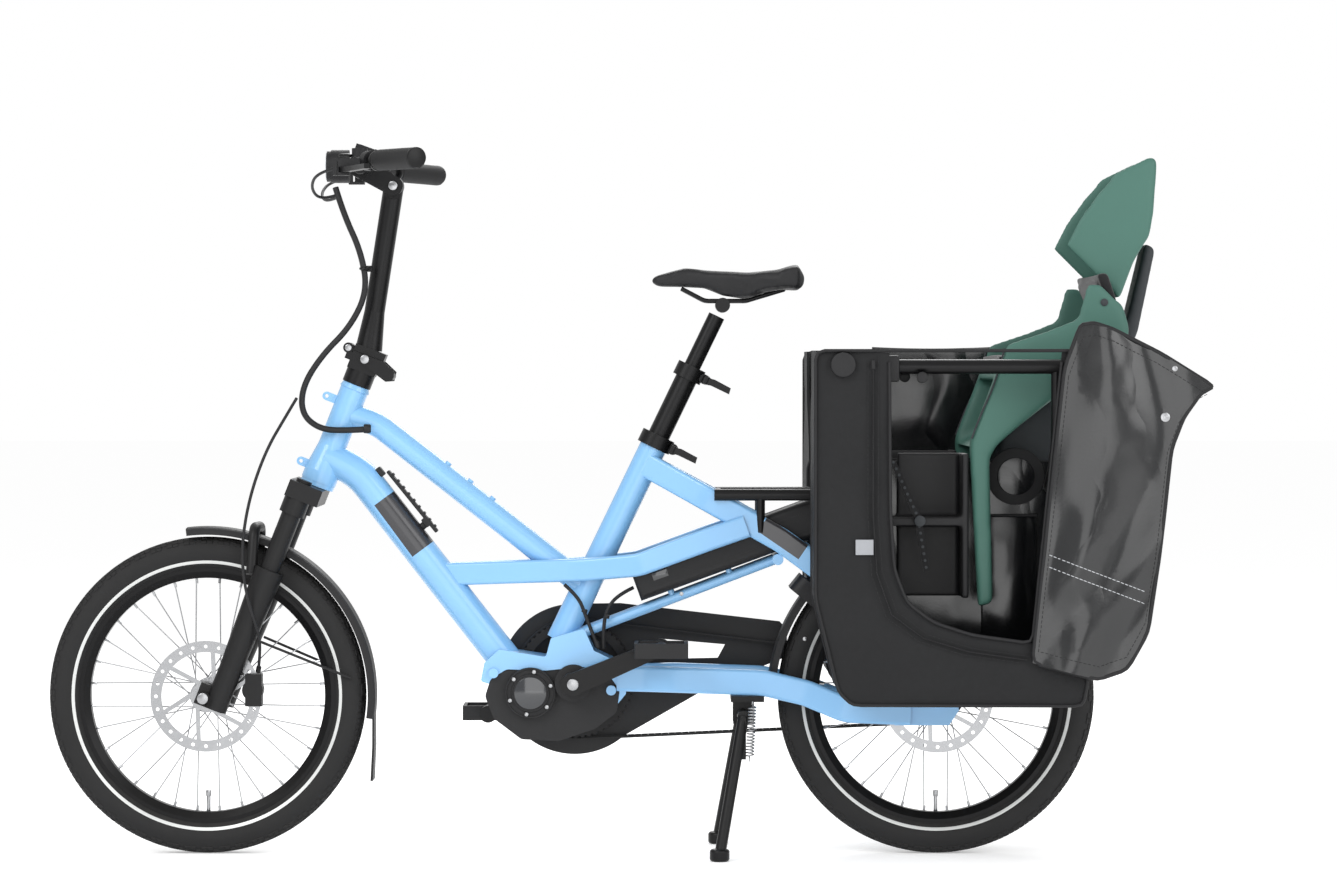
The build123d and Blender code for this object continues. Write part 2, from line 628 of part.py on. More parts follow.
def pedal(side):
    """A platform pedal: two cage plates, end bars and a barrel on the axle."""
    x, z = crank_end(side)
    near = arm_inner + arm_thickness + body_gap + 1
    low, high = sorted((side * near, side * (near + pedal_width)))
    barrel_low, barrel_high = sorted((side * near, side * (near + pedal_width - 6)))
    barrel = rod((x, barrel_low, z), (x, barrel_high, z), 11)
    half = pedal_length / 2
    cage_low, cage_high = sorted((side * (near + 8), side * (near + pedal_width)))
    frame = cut(block((x - half, cage_low, z - pedal_height / 2), (x + half, cage_high, z + pedal_height / 2)),
                block((x - half + 6, cage_low + 8, z - 20), (x + half - 6, cage_high - 8, z + 20)))
    frame = fillet(frame.edges().filter_by(Axis.Z), 2.5)
    spine = block((x - half + 2, (low + high) / 2 - 4, z - 5), (x + half - 2, (low + high) / 2 + 4, z + 5))
    bore = rod((x, side * 10, z), (x, side * (arm_inner + arm_thickness + 70.5), z),
               pedal_axle_radius + shaft_clearance)
    return cut(fuse(barrel, frame, spine), bore)


save("pedal_left", pedal(-1))
save("pedal_right", pedal(1))

guard_side = (guard_inner, guard_inner + guard_thickness)
guard_disc = rod((crank_x, guard_side[0], crank_z - 1), (crank_x, guard_side[1], crank_z - 1), 124)
guard_arm = plate([(crank_x, 403), (0, 404), (262, 374), (274, 360), (274, 316), (140, 262), (-30, 165)], *guard_side)
guard_window = plate([(70, 345), (172, 336), (160, 314), (70, 312)], guard_inner - 5, guard_inner + 10)
guard_hole = rod((crank_x, 50, crank_z), (crank_x, 80, crank_z), 30)
guard_spacers = [rod((x, 30, z), (x, guard_inner, z), 6) for x, z in ((58, 286), (112, 285))]
belt_guard = cut(fuse(guard_disc, guard_arm), guard_window, guard_hole)
stay_right = mirrored(stay_left)
save("belt_guard", belt_guard, *[max(cut(spacer, stay_right, block((40, 0, 270), (130, 44, 300))).solids(),
                            key=lambda s: s.center().Y) for spacer in guard_spacers])

# ---- Kickstand --------------------------------------------------------------------------------

stand_x, stand_z = stand_pivot[0], stand_pivot[2]
stand_axle_radius = 10.0
bracket_plate = block((stand_x - 20, -58, 250), (stand_x + 34, 58, 259.5))
ears = [block((stand_x - 16, side - 5, stand_z - 15), (stand_x + 18, side + 5, 251)) for side in (-28, 28)]
stand_bracket = cut(fuse(bracket_plate, *ears), stay_left, stay_right,
                    rod((stand_x, -100, stand_z), (stand_x, 100, stand_z), stand_axle_radius + shaft_clearance))
save("stand_bracket", stand_bracket)
stand_parts = [rod((stand_x, -stand_top_side - 4, stand_z), (stand_x, stand_top_side + 4, stand_z), stand_axle_radius)]
for side in (-1, 1):
    stand_parts.append(rod((stand_x, side * stand_top_side, stand_z),
                           (stand_foot_x + 1, side * stand_foot_side, 14), stand_tube_radius))
stand_parts.append(block((stand_x - 5, -stand_top_side - 10, 160), (stand_x + 4, -stand_top_side - 2, stand_z)))
feet = []
for side in (-1, 1):
    foot = rod((stand_foot_x, side * stand_foot_side, 0), (stand_foot_x, side * stand_foot_side, 20), stand_foot_radius)
    feet.append(fillet(foot.edges(), 5))
legs = fuse(*stand_parts)
save("kickstand", cut(legs, *feet), *feet)
save("stand_spring", rod((stand_x + 14, -stand_top_side - 13, 168), (stand_x + 14, -stand_top_side - 13, 244), 5, 3.2))

# ---- Rear fender, lock, brake and carrier ---------------------------------------------------------

rear_sheet = fender_sheet(rear_axle_x, 18.0, 172.0)
lock_angle = 141.0
lock_x, _, lock_z = wheel_point(rear_axle_x, 243, lock_angle)
lock_plane = Plane(origin=(lock_x, 0, lock_z), x_dir=(cos(radians(lock_angle)), 0, sin(radians(lock_angle))),
                   z_dir=(-sin(radians(lock_angle)), 0, cos(radians(lock_angle))))
lock_case = fillet(Solid.make_box(92, 100, 28, Plane(origin=(-38, -50, -14))).edges().filter_by(Axis.Z), 16)
lock_case = cut(lock_case, Solid.make_box(75, 68, 60, Plane(origin=(-40, -34, -30))))
ring_lock = lock_case.moved(lock_plane.location)
fender_stays = []
for side in (-1, 1):
    low_end = (rear_axle_x + 8, side * (dropout_near + 4), axle_z + 38)
    high_x, _, high_z = wheel_point(rear_axle_x, 266, 58)
    fender_stays.append(rod(low_end, (high_x, side * 33.5, high_z), 2.2))
both_dropouts = fuse(dropout_left, rear_axle, mirrored(dropout_left))
save("rear_fender", cut(rear_sheet, ring_lock), *[cut(stay, rear_sheet, both_dropouts) for stay in fender_stays])
save("ring_lock", cut(ring_lock, upper_left, mirrored(upper_left), rails_solid))
save("rear_caliper", cut(caliper(rear_axle_x, rear_rotor_side, 150.0, 7, 14), upper_left, stay_left))

rack_parts = []
for side in (-1, 1):
    rack_parts.append(rod((rack_front, side * rack_side, rack_z), (rack_rear, side * rack_side, rack_z), rack_radius))
    rack_parts.append(rod((228, side * stay_side, 525), (228, side * rack_side, rack_z), 7))
    rack_parts.append(rod((506, side * (dropout_side - 3), 300), (560, side * rack_side, rack_z), 6.5))
for x in (rack_front + 8, 352, 520, rack_rear - 8):
    rack_parts.append(rod((x, -rack_side, rack_z), (x, rack_side, rack_z), rack_radius - 1.5))
rear_rack = cut(fuse(*rack_parts), upper_left, mirrored(upper_left), dropout_left, mirrored(dropout_left), battery_case)
rear_rack = max(rear_rack.solids(), key=lambda s: s.volume)
save("rear_rack", rear_rack)

cross_x = 352.0
rail_parts = [rod((cross_x, -bag_outer - 2, bag_rail_z + 3), (cross_x, bag_outer + 2, bag_rail_z + 3), bag_rail_radius)]
upright_radius = 8.0
for side in (-1, 1):
    rail_parts.append(rod((cross_x, side * bag_rail_side, bag_rail_z), (702, side * bag_rail_side, bag_rail_z),
                          bag_rail_radius))
    for x in (cross_x, 690):
        foot = [(x, side * rack_side, rack_z), (x, side * 116, 604), (x, side * bag_rail_side, 668),
                (x, side * bag_rail_side, bag_rail_z)]
        rail_parts.append(bent(foot, upright_radius, [60, 40]))
bag_rails = cut(fuse(*rail_parts), rear_rack)
bag_rails = max(bag_rails.solids(), key=lambda s: s.volume)
save("bag_rails", bag_rails)

bag_outline = [(309, 818), (309, 430), (345, 284), (367, 263), (728, 262), (735, 300), (720, 818)]
bag_inside = [(309 + bag_wall, 830), (309 + bag_wall, 431), (348.5, 287), (369, 263 + bag_wall),
              (724.5, 262 + bag_wall), (735 - bag_wall, 300), (720 - bag_wall, 830)]
door_cutout = [(424, 830), (426, 566), (432, 476), (452, 424), (493, 393), (554, 373), (648, 360), (696, 830)]
bag_shell = cut(plate(bag_outline, -bag_outer, -bag_inner),
                plate(bag_inside, -bag_outer + bag_wall, -bag_inner - bag_wall),
                plate(door_cutout, -bag_outer - 5, -bag_outer + bag_wall + 5),
                block((300, -bag_inner - bag_wall - 1, 640), (740, -bag_inner + 1, 830)),
                block((640, -seat_half_width - 8, 640), (760, -bag_inner + 1, 830)))
bag_left = cut(bag_shell, bag_rails)
whole_side = plate(door_cutout, -bag_outer, -bag_outer + bag_wall)
bag_right = cut(mirrored(fuse(bag_shell, whole_side)), bag_rails)
save("side_bags", max(bag_left.solids(), key=lambda s: s.volume), max(bag_right.solids(), key=lambda s: s.volume))

door_plane_y = bag_outer + 6.5
door_outline = [(698, 792), (722, 858), (742, 861), (772, 851), (845, 815), (930, 762), (909, 751), (883, 714),
                (864, 664), (853, 567), (844, 486), (828, 379), (795, 320), (750, 304), (648, 330)]
bag_door = plate(door_outline, -door_plane_y - 2.5, -door_plane_y + 2.5)
save("bag_door", bag_door)

# ---- Child seat -----------------------------------------------------------------------------------

seat_outline = [(742, 926), (727, 870), (681, 852), (614, 830), (598, 779), (557, 673), (571, 411), (595, 417),
                (589, 647), (600, 667), (638, 700), (703, 751), (785, 770), (812, 850), (801, 889), (766, 925)]
seat_hollow = [(540, 804), (640, 786), (768, 794), (799, 852), (789, 903), (772, 960), (540, 960)]
headrest_outline = [(848, 1130), (863, 1127), (862, 1113), (857, 1040), (850, 1000), (843, 992), (825, 961),
                    (802, 899), (714, 987), (739, 1034), (764, 1068), (795, 1105)]
headrest_hollow = [(690, 1000), (790, 900), (812, 965), (836, 1000), (844, 1040), (846, 1100), (846, 1150), (700, 1150)]
seat_body = cut(plate(seat_outline, -seat_half_width, seat_half_width),
                plate(seat_hollow, -seat_half_width + seat_wall, seat_half_width - seat_wall),
                block((540, -158, 400), (640, 158, 664)),
                plate([(520, 660), (560, 664), (612, 690), (640, 740), (640, 770), (520, 775)], -158, 158))
seat_body = max(seat_body.solids(), key=lambda s: s.volume)
headrest_half = 118.0
headrest = cut(plate(headrest_outline, -headrest_half, headrest_half),
               plate(headrest_hollow, -headrest_half + seat_wall, headrest_half - seat_wall))
headrest = max(headrest.solids(), key=lambda s: s.volume)
save("child_seat", seat_body, headrest)

strut_outline = [(600, 612), (742, 612), (800, 752), (840, 850), (868, 985), (851, 993), (824, 880), (801, 830),
                 (770, 775), (640, 770)]
strut = fuse(plate(strut_outline, -46, 46), block((560, -72, rack_z + rack_radius), (670, 72, 612)))
strut = cut(strut, seat_body, headrest, rear_rack)
save("seat_strut", max(strut.solids(), key=lambda s: s.volume))
pad_outline = [(604, 812), (642, 803), (752, 811), (778, 856), (772, 902), (757, 940), (774, 944), (788, 902),
               (798, 851), (767, 795), (641, 787), (602, 793)]
seat_pad = cut(plate(pad_outline, -seat_half_width + seat_wall + 4, seat_half_width - seat_wall - 4), seat_body,
               headrest)
save("seat_pad", max(seat_pad.solids(), key=lambda s: s.volume))
leg_parts = []
for side in (-1, 1):
    near, far = sorted((side * 106, side * 182))
    back = block((545, near, 425), (556.5, far, 655))
    wall_low, wall_high = sorted((side * 106, side * 112))
    inner_wall = block((445, wall_low, 425), (556, wall_high, 655))
    rest_low, rest_high = sorted((side * 110, side * 180))
    footrest = block((430, rest_low, 540), (550, rest_high, 554))
    leg_parts.append(cut(fuse(back, inner_wall, footrest), seat_body))
save("leg_guards", *leg_parts)
harness = []
for side in (-1, 1):
    harness.append(cut(plate([(762, 938), (772, 900), (766, 860), (735, 825), (700, 818), (700, 815), (737, 821),
                              (770, 857), (776, 900), (766, 939)], side * 45 - 11, side * 45 + 11), seat_pad))
    strap_y = side * 186
    harness.append(plate([(432, 640), (440, 643), (480, 556), (494, 470), (484, 468), (470, 552)],
                         strap_y - 1.5, strap_y + 1.5))
save("seat_straps", *[cut(strap, *leg_parts) for strap in harness])

# ---- Seatposts and saddle ---------------------------------------------------------------------------


def quick_lever(along):
    """A cam barrel and blade for one seatpost collar, on the left behind the post."""
    cam = rod(seat_point(along - 6, 30, -24), seat_point(along + 6, 30, -24), 7)
    x, _, z = seat_point(along, 30)
    blade = plate([(x - 3, z + 5), (x + 14, z + 1), (x + 40, z - 13), (x + 37, z - 23), (x + 8, z - 9), (x - 4, z - 6)],
                  -30, -21)
    return fuse(cam, blade)


lower_post_bottom, lower_post_top = -150.0, 130.0
middle_collar = fuse(rod(seat_point(108), seat_point(131), 24), rod(seat_point(120, 26, -16), seat_point(120, 30, 16), 8))
upper_bore = rod(seat_point(lower_post_bottom - 1), seat_point(140), upper_post_radius + shaft_clearance)
lower_post = cut(fuse(rod(seat_point(lower_post_bottom), seat_point(lower_post_top), lower_post_radius), middle_collar),
                 upper_bore)
save("seatpost_lower", lower_post)
save("clamp_lever_lower", quick_lever(-5))
save("clamp_lever_middle", quick_lever(120))

saddle_rails = []
for side in (-22, 22):
    saddle_rails.append(bent([(100, side * 0.7, 920), (138, side, 900), (205, side, 900), (268, side, 919)], 3.5,
                             [24, 24]))
post_head = fuse(rod(seat_point(60), seat_point(222), upper_post_radius), rod((167, -30, 893), (167, 30, 893), 12))
save("seatpost_upper", cut(post_head, *saddle_rails), *saddle_rails)
saddle_side = [(46, 934), (56, 943), (101, 951), (155, 946), (208, 943), (255, 947), (288, 957), (302, 940),
               (299, 920), (270, 922), (232, 916), (208, 906), (168, 912), (138, 924), (95, 926), (60, 926)]
saddle_plan = [(46, 10), (60, 19), (110, 24), (170, 38), (220, 62), (262, 78), (290, 76), (302, 50)]
plan_points = [(x, -y) for x, y in saddle_plan] + [(x, y) for x, y in reversed(saddle_plan)]
plan_solid = Solid.extrude(Face(Wire.make_polygon([(x, y, 850) for x, y in plan_points], close=True)),
                           Vector(0, 0, 150))
saddle = plate(saddle_side, -90, 90).intersect(plan_solid)
saddle_solids = saddle.solids() if hasattr(saddle, "solids") else list(saddle)
saddle = max(saddle_solids, key=lambda s: s.volume)
save("saddle", cut(saddle, *saddle_rails))

# ---- Handlepost ----------------------------------------------------------------------------------------

pin_spot = (hinge_forward, hinge_up)
latch_spot = (0.4, 213.7)
latch_pin_radius = 5.0
base_top = hinge_up - 0.8
base_half = 24.0
base = [rod((0, 0, head_length + 8.5), (0, 0, 204), base_half - 0.1), block((-24, -base_half, 192), (23.5, base_half, base_top)),
        rod((pin_spot[0], -base_half, pin_spot[1]), (pin_spot[0], base_half, pin_spot[1]), hinge_pin_radius),
        rod((latch_spot[0], -29.5, latch_spot[1]), (latch_spot[0], 29.5, latch_spot[1]), latch_pin_radius)]
for low, high in ((-base_half, -14.5), (14.5, base_half)):
    base.append(rod((pin_spot[0], low, pin_spot[1]), (pin_spot[0], high, pin_spot[1]), knuckle_radius))
    base.append(block((18, low, 204), (pin_spot[0], high, 217)))
steerer_room = rod((0, 0, 160), (0, 0, 206), steerer_radius)
save("post_hinge", steered(cut(fuse(*base), steerer_room)))

flange = fuse(block((-29, -base_half, hinge_up - 0.2), (23.5, base_half, 233)),
              block((18, -14, hinge_up + 0.5), (pin_spot[0], 14, hinge_up + 7)),
              rod((pin_spot[0], -14, pin_spot[1]), (pin_spot[0], 14, pin_spot[1]), knuckle_radius))
flange = steered(cut(flange, rod((pin_spot[0], -30, pin_spot[1]), (pin_spot[0], 30, pin_spot[1]),
                                 hinge_pin_radius + shaft_clearance)))
post_run = Vector(*post_top) - Vector(*post_bottom)


def post_point(share, side=0.0):
    """A point on the handlepost's axis, from its foot at 0 to the stem pivot at 1."""
    point = Vector(*post_bottom) + post_run * share
    return (point.X, side, point.Z)


pivot_x, _, pivot_z = post_top
stem_ear_gap = 11.0
post_solid = fuse(flange, taper(post_point(0.01), post_point(0.24), 22, post_radius),
                  rod(post_point(0.2), post_point(1.0), post_radius))
post_solid = cut(post_solid, rod((pivot_x, -40, pivot_z), (pivot_x, -stem_ear_gap, pivot_z), 22),
                 rod((pivot_x, stem_ear_gap, pivot_z), (pivot_x, 40, pivot_z), 22))
stem_bolt_radius = 4.0
post_solid = cut(fuse(post_solid, rod((pivot_x, -stem_ear_gap, pivot_z), (pivot_x, stem_ear_gap, pivot_z), 16)),
                 rod((pivot_x, -40, pivot_z), (pivot_x, 40, pivot_z), stem_bolt_radius + shaft_clearance))
save("handlepost", max(post_solid.solids(), key=lambda s: s.volume))

latch = []
for low, high in ((-28, -base_half - body_gap), (base_half + body_gap, 28)):
    arm = plate([(8, latch_spot[1] + 7), (8, latch_spot[1] - 7), (-44, 192), (-54, 197), (-52, 212), (-30, 221)],
                low, high)
    latch.append(arm)
latch.append(rod((-47, -28, 203), (-47, 28, 203), 7))
latch_bore = rod((latch_spot[0], -40, latch_spot[1]), (latch_spot[0], 40, latch_spot[1]),
                 latch_pin_radius + shaft_clearance)
save("latch_lever", steered(cut(fuse(*latch), latch_bore)))

# ---- Stem, handlebar and controls ------------------------------------------------------------------------

bar_x, _, bar_z = bar_centre
bar_bend = (-396.0, 174.0)
bar_end = (-316.0, 306.0)
bar_path = [(bar_end[0], -bar_end[1], bar_z - 2), (bar_bend[0], -bar_bend[1], bar_z), (bar_x, -72, bar_z),
            (bar_x, 72, bar_z), (bar_bend[0], bar_bend[1], bar_z), (bar_end[0], bar_end[1], bar_z - 2)]
bar = fuse(bent(bar_path, bar_radius, [60, 90, 90, 60]), rod((bar_x, -32, bar_z), (bar_x, 32, bar_z), bar_clamp_radius))
stem_arms = []
for low, high in ((-19, -stem_ear_gap - body_gap), (stem_ear_gap + body_gap, 19)):
    stem_arms.append(rod((pivot_x, low, pivot_z), (pivot_x, high, pivot_z), 16))
    stem_arms.append(plate([(pivot_x + 7, pivot_z + 14), (bar_x + 12, bar_z + 17), (bar_x - 8, bar_z - 19),
                            (pivot_x - 8, pivot_z - 14)], low, high))
stem_arms.append(rod((pivot_x, -21, pivot_z), (pivot_x, 21, pivot_z), stem_bolt_radius))
stem = cut(fuse(*stem_arms, rod((bar_x, -21, bar_z), (bar_x, 21, bar_z), 21)), bar)
save("handlebar", bar, stem)


def bar_point(side, share):
    """A point on the swept end of the handlebar, from its bend at 0 to its tip at 1."""
    return (bar_bend[0] + (bar_end[0] - bar_bend[0]) * share, side * (bar_bend[1] + (bar_end[1] - bar_bend[1]) * share),
            bar_z - 2 * share)


grips = [cut(rod(bar_point(side, 0.22), bar_point(side, 1.04), grip_radius), bar) for side in (-1, 1)]
save("grips", *grips)

lever_pivot = (-438.0, 170.0, 1106.0)
lever_pin_radius = 3.0
controls = []
for side in (-1, 1):
    x, y, z = lever_pivot
    near, far = sorted((side * (y - 9), side * (y + 9)))
    ring_start = (bar_bend[0] - 3, side * (bar_bend[1] - 6), bar_z)
    ring_end = bar_point(side, 0.07)
    perch = fuse(rod(ring_start, ring_end, 16), block((x - 6, near, z + 4.5), (x + 40, far, z + 18)),
                 block((x - 9, near, z - 9), (x + 10, far, z - 4.5)),
                 block((x - 16, near, z - 9), (x - 9.5, far, z + 18)),
                 rod((x, side * y, z - 9), (x, side * y, z + 10), lever_pin_radius))
    perch = cut(perch, bar, grips[0], grips[1])
    controls.append(perch)
    blade = [(x - 5, y - 7), (x + 7, y - 8), (x + 24, y + 40), (x + 52, y + 118), (x + 50, y + 130), (x + 42, y + 128),
             (x + 12, y + 44), (x - 7, y + 6)]
    outline = [(px, side * py, z - 4) for px, py in blade]
    lever = Solid.extrude(Face(Wire.make_polygon(outline, close=True)), Vector(0, 0, 8))
    lever = cut(lever, rod((x, side * y, z - 20), (x, side * y, z + 20), lever_pin_radius + shaft_clearance))
    save("brake_lever_left" if side < 0 else "brake_lever_right", lever)

lamp_body = cut(rod((-470, 0, 1119), (-441, 0, 1119), 27), stem)
lamp_lens = rod((-477, 0, 1119), (-470, 0, 1119), 25)
display = Solid.make_box(34, 62, 10, Plane(origin=(-430, -31, 1146), x_dir=(0.94, 0, -0.34), z_dir=(0.34, 0, 0.94)))
display_foot = cut(block((-424, -10, bar_z + 15), (-408, 10, bar_z + 29)), display, stem, bar)
bell = fuse(rod((bar_x, -52, bar_z + 8), (bar_x, -52, bar_z + 26), 13), rod((bar_x, -60, bar_z), (bar_x, -46, bar_z), 15))
save("bar_controls", *controls, display, display_foot, cut(bell, bar), lamp_body, lamp_lens)

# ---- Cables --------------------------------------------------------------------------------------------------


def cable(name, points, radius):
    """A round cable along straight runs joined by arcs as large as the runs allow."""
    bends = []
    for before, corner, after in zip(points, points[1:], points[2:]):
        first = Vector(*corner) - Vector(*before)
        second = Vector(*after) - Vector(*corner)
        half_turn = radians(first.get_angle(second)) / 2
        bends.append(0.45 * min(first.length, second.length) / tan(half_turn))
    print(name, "bend radii in diameters:", [round(bend / radius / 2, 1) for bend in bends])
    return bent(points, radius, bends)


loom_points = [(-462, -19, 1084), (-448, -27, 1040), (-420, -32, 980), (-409, -34, 916), (-437, -34, 858),
               (-483, -31, 812), (-515, -30, 762), (-517, -31, 717), (-488, -33, 692), (-446, -34, 689),
               (-404, -33, 692)]
hose_points = [(-524, -38, 742), (-544, -56, 706), (-567, -75, 664), (-588, -88, 608), (-602, -93, 550),
               (-608, -95, 492), (-603, -95, 438), (-590, -93, 390), (-577, -80, 346), (-586, -52, 298)]
motor_cable = [(-90, -31, 439), (-68, -36, 420), (-57, -39, 394), (-46, -40, 364), (-34, -39, 336)]
battery_cable = [(22, -24, 434), (-4, -31, 422), (-22, -41, 398), (-27, -42, 366), (-26, -39, 336)]
loom = cable("cable_loom", loom_points, 5.0)
save("cable_loom", loom)
save("fork_hose", cut(cable("fork_hose", hose_points, 2.5), loom))
port = cut(block((-405, -40, 681), (-390, -12, 703)), top_solid, head_solid, loom)
save("frame_cables", cut(cable("motor_cable", motor_cable, 3.0), bracket, motor_case),
     cut(cable("battery_cable", battery_cable, 3.0), battery_case, bracket, motor_case),
     max(port.solids(), key=lambda s: s.volume))
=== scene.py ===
import math

import bmesh
import bpy
from bpy.props import FloatProperty, FloatVectorProperty, IntProperty, PointerProperty
from mathutils import Matrix, Vector


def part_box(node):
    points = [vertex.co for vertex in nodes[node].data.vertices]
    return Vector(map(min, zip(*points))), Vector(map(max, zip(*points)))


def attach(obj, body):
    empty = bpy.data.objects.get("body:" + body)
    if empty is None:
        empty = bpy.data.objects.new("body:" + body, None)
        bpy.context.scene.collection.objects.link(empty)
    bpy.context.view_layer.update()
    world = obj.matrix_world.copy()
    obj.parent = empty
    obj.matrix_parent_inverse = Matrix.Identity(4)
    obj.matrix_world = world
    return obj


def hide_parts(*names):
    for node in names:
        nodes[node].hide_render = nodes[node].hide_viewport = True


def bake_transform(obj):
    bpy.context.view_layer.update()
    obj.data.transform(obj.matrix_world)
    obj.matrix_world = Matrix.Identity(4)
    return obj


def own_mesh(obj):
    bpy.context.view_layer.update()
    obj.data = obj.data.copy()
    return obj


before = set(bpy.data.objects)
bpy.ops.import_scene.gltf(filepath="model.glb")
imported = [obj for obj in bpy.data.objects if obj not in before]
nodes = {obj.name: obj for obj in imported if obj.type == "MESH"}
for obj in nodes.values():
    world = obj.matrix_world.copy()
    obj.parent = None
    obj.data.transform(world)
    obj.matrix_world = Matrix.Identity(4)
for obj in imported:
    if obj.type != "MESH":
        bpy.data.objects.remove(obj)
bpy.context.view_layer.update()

bl_info = {
    "name": "Cargo bicycle",
    "version": (1, 0, 0),
    "blender": (4, 5, 0),
    "location": "View3D > Sidebar > Cargo bicycle",
    "description": "Detailed pieces and finishes for a longtail cargo bicycle",
    "category": "Add Mesh",
}

front_axle = (-0.672, 0.0, 0.258)
rear_axle = (0.515, 0.0, 0.258)
spoke_count = 32
crank_centre = Vector((-0.0755, 0, 0.280))
belt_plane, belt_pitch, ring_teeth, cog_teeth = 0.052, 0.011, 56, 28
motor_centre = Vector((-0.145, 0, 0.264))
motor_cable_end = (-0.034, -0.039, 0.336)
lamp_height = 1.119
door_face, bag_face = 0.2965, 0.2905
strip_tilt, battery_tilt, display_tilt = math.radians(51), math.radians(-20), math.radians(19.9)


def colour(name, about, value):
    return FloatVectorProperty(name=name, description=about, default=value, size=3, min=0, max=1, subtype="COLOR")


class BicycleColours(bpy.types.PropertyGroup):
    paint: colour("Frame paint", "Colour of the frame tubes", (0.205, 0.445, 0.73))
    panel: colour("Panels", "Colour of the plain dark panels on the frame", (0.02, 0.02, 0.024))
    metal: colour("Dark metal", "Colour of the coated black metal pieces", (0.006, 0.006, 0.0065))
    plastic: colour("Dark plastic", "Colour of the moulded black pieces", (0.009, 0.009, 0.010))
    motor: colour("Motor", "Colour of the motor housing", (0.012, 0.012, 0.013))
    rubber: colour("Rubber", "Colour of tyres and grips", (0.010, 0.010, 0.0105))
    steel: colour("Steel", "Colour of bare steel", (0.36, 0.365, 0.375))
    seat: colour("Seat shell", "Colour of the child seat's shell", (0.052, 0.135, 0.108))
    strut: colour("Seat back", "Colour of the child seat's support", (0.028, 0.032, 0.036))
    fabric: colour("Bag fabric", "Colour of the side bags", (0.0048, 0.0050, 0.0058))
    lining: colour("Bag lining", "Colour of the shiny coated inside of the bags", (0.0045, 0.0050, 0.0058))
    reflector: colour("Reflector", "Colour of the tyres' reflective stripe", (0.62, 0.63, 0.62))


class BicycleSizes(bpy.types.PropertyGroup):
    tread_depth: FloatProperty(name="Tread depth", description="How far the tread blocks stand out",
                               default=0.0016, min=0.0005, max=0.003, unit="LENGTH")
    tread_steps: IntProperty(name="Tread steps", description="Tread blocks round one tyre",
                             default=168, min=60, max=240)
    tooth_depth: FloatProperty(name="Belt tooth depth", description="Height of the belt's teeth",
                               default=0.0026, min=0.001, max=0.003, unit="LENGTH")
    piping_radius: FloatProperty(name="Piping radius", description="Radius of the piping round the bags",
                                 default=0.0028, min=0.001, max=0.005, unit="LENGTH")
    zip_tooth: FloatProperty(name="Zip tooth", description="Length of one zip tooth",
                             default=0.0026, min=0.001, max=0.005, unit="LENGTH")
    stitch_length: FloatProperty(name="Stitch length", description="Length of one stitch",
                                 default=0.005, min=0.002, max=0.01, unit="LENGTH")
    spring_radius: FloatProperty(name="Spring radius", description="Radius of the kickstand spring's coils",
                                 default=0.0062, min=0.003, max=0.009, unit="LENGTH")
    weave_size: FloatProperty(name="Weave size", description="Distance between threads in the bag fabric",
                              default=0.0022, min=0.0005, max=0.004, unit="LENGTH")


# ---- Shader groups ---------------------------------------------------------------------------------


def shader_group(name, takes, gives):
    group = bpy.data.node_groups.new(name, "ShaderNodeTree")
    for label, kind, value in takes:
        socket = group.interface.new_socket(label, in_out="INPUT", socket_type=kind)
        if value is not None:
            socket.default_value = value
    for label, kind in gives:
        group.interface.new_socket(label, in_out="OUTPUT", socket_type=kind)
    return group, group.nodes.new("NodeGroupInput"), group.nodes.new("NodeGroupOutput")


def add(tree, kind, links=(), **settings):
    """Adds a shader node; settings are attributes, links pair an input with a socket or a value."""
    node = tree.nodes.new(kind)
    for key, value in settings.items():
        setattr(node, key, value)
    for key, source in links:
        if isinstance(source, bpy.types.NodeSocket):
            tree.links.new(source, node.inputs[key])
        else:
            node.inputs[key].default_value = source
    return node


def compute(tree, operation, *values):
    node = tree.nodes.new("ShaderNodeMath")
    node.operation = operation
    for place, value in enumerate(values):
        if isinstance(value, bpy.types.NodeSocket):
            tree.links.new(value, node.inputs[place])
        else:
            node.inputs[place].default_value = value
    return node.outputs[0]


def noise(tree, place, scale, detail, roughness=0.5):
    return add(tree, "ShaderNodeTexNoise", [("Vector", place), ("Scale", scale), ("Detail", detail),
                                            ("Roughness", roughness)])


def lay_over(tree, share, under, over):
    """One colour laid over another by a share between nought and one."""
    under, over = [value if isinstance(value, bpy.types.NodeSocket) else (*value, 1) for value in (under, over)]
    mixed = add(tree, "ShaderNodeMix", [("Factor", share), ("A", under), ("B", over)], data_type="RGBA")
    return mixed.outputs["Result"]


def shared(tree, name, place, links=()):
    """One of the shared groups, placed in a material with its own values."""
    return add(tree, "ShaderNodeGroup", [("Place", place), *links], node_tree=bpy.data.node_groups[name])


def make_grain():
    """Fine and broad unevenness of a moulded, cast or painted surface."""
    group, taken, given = shader_group(
        "surface_grain",
        [("Place", "NodeSocketVector", None), ("Scale", "NodeSocketFloat", 900.0), ("Broad", "NodeSocketFloat", 9.0)],
        [("Height", "NodeSocketFloat"), ("Shade", "NodeSocketFloat"), ("Rub", "NodeSocketFloat")])
    place = taken.outputs["Place"]
    fine = noise(group, place, taken.outputs["Scale"], 2.0)
    broad = noise(group, place, taken.outputs["Broad"], 5.0, 0.62)
    spot = noise(group, place, 46.0, 6.0, 0.7)
    rub = add(group, "ShaderNodeMapRange", [("Value", spot.outputs[0]), ("From Min", 0.6), ("From Max", 0.78)])
    group.links.new(fine.outputs[0], given.inputs["Height"])
    group.links.new(broad.outputs[0], given.inputs["Shade"])
    group.links.new(rub.outputs[0], given.inputs["Rub"])
    return group


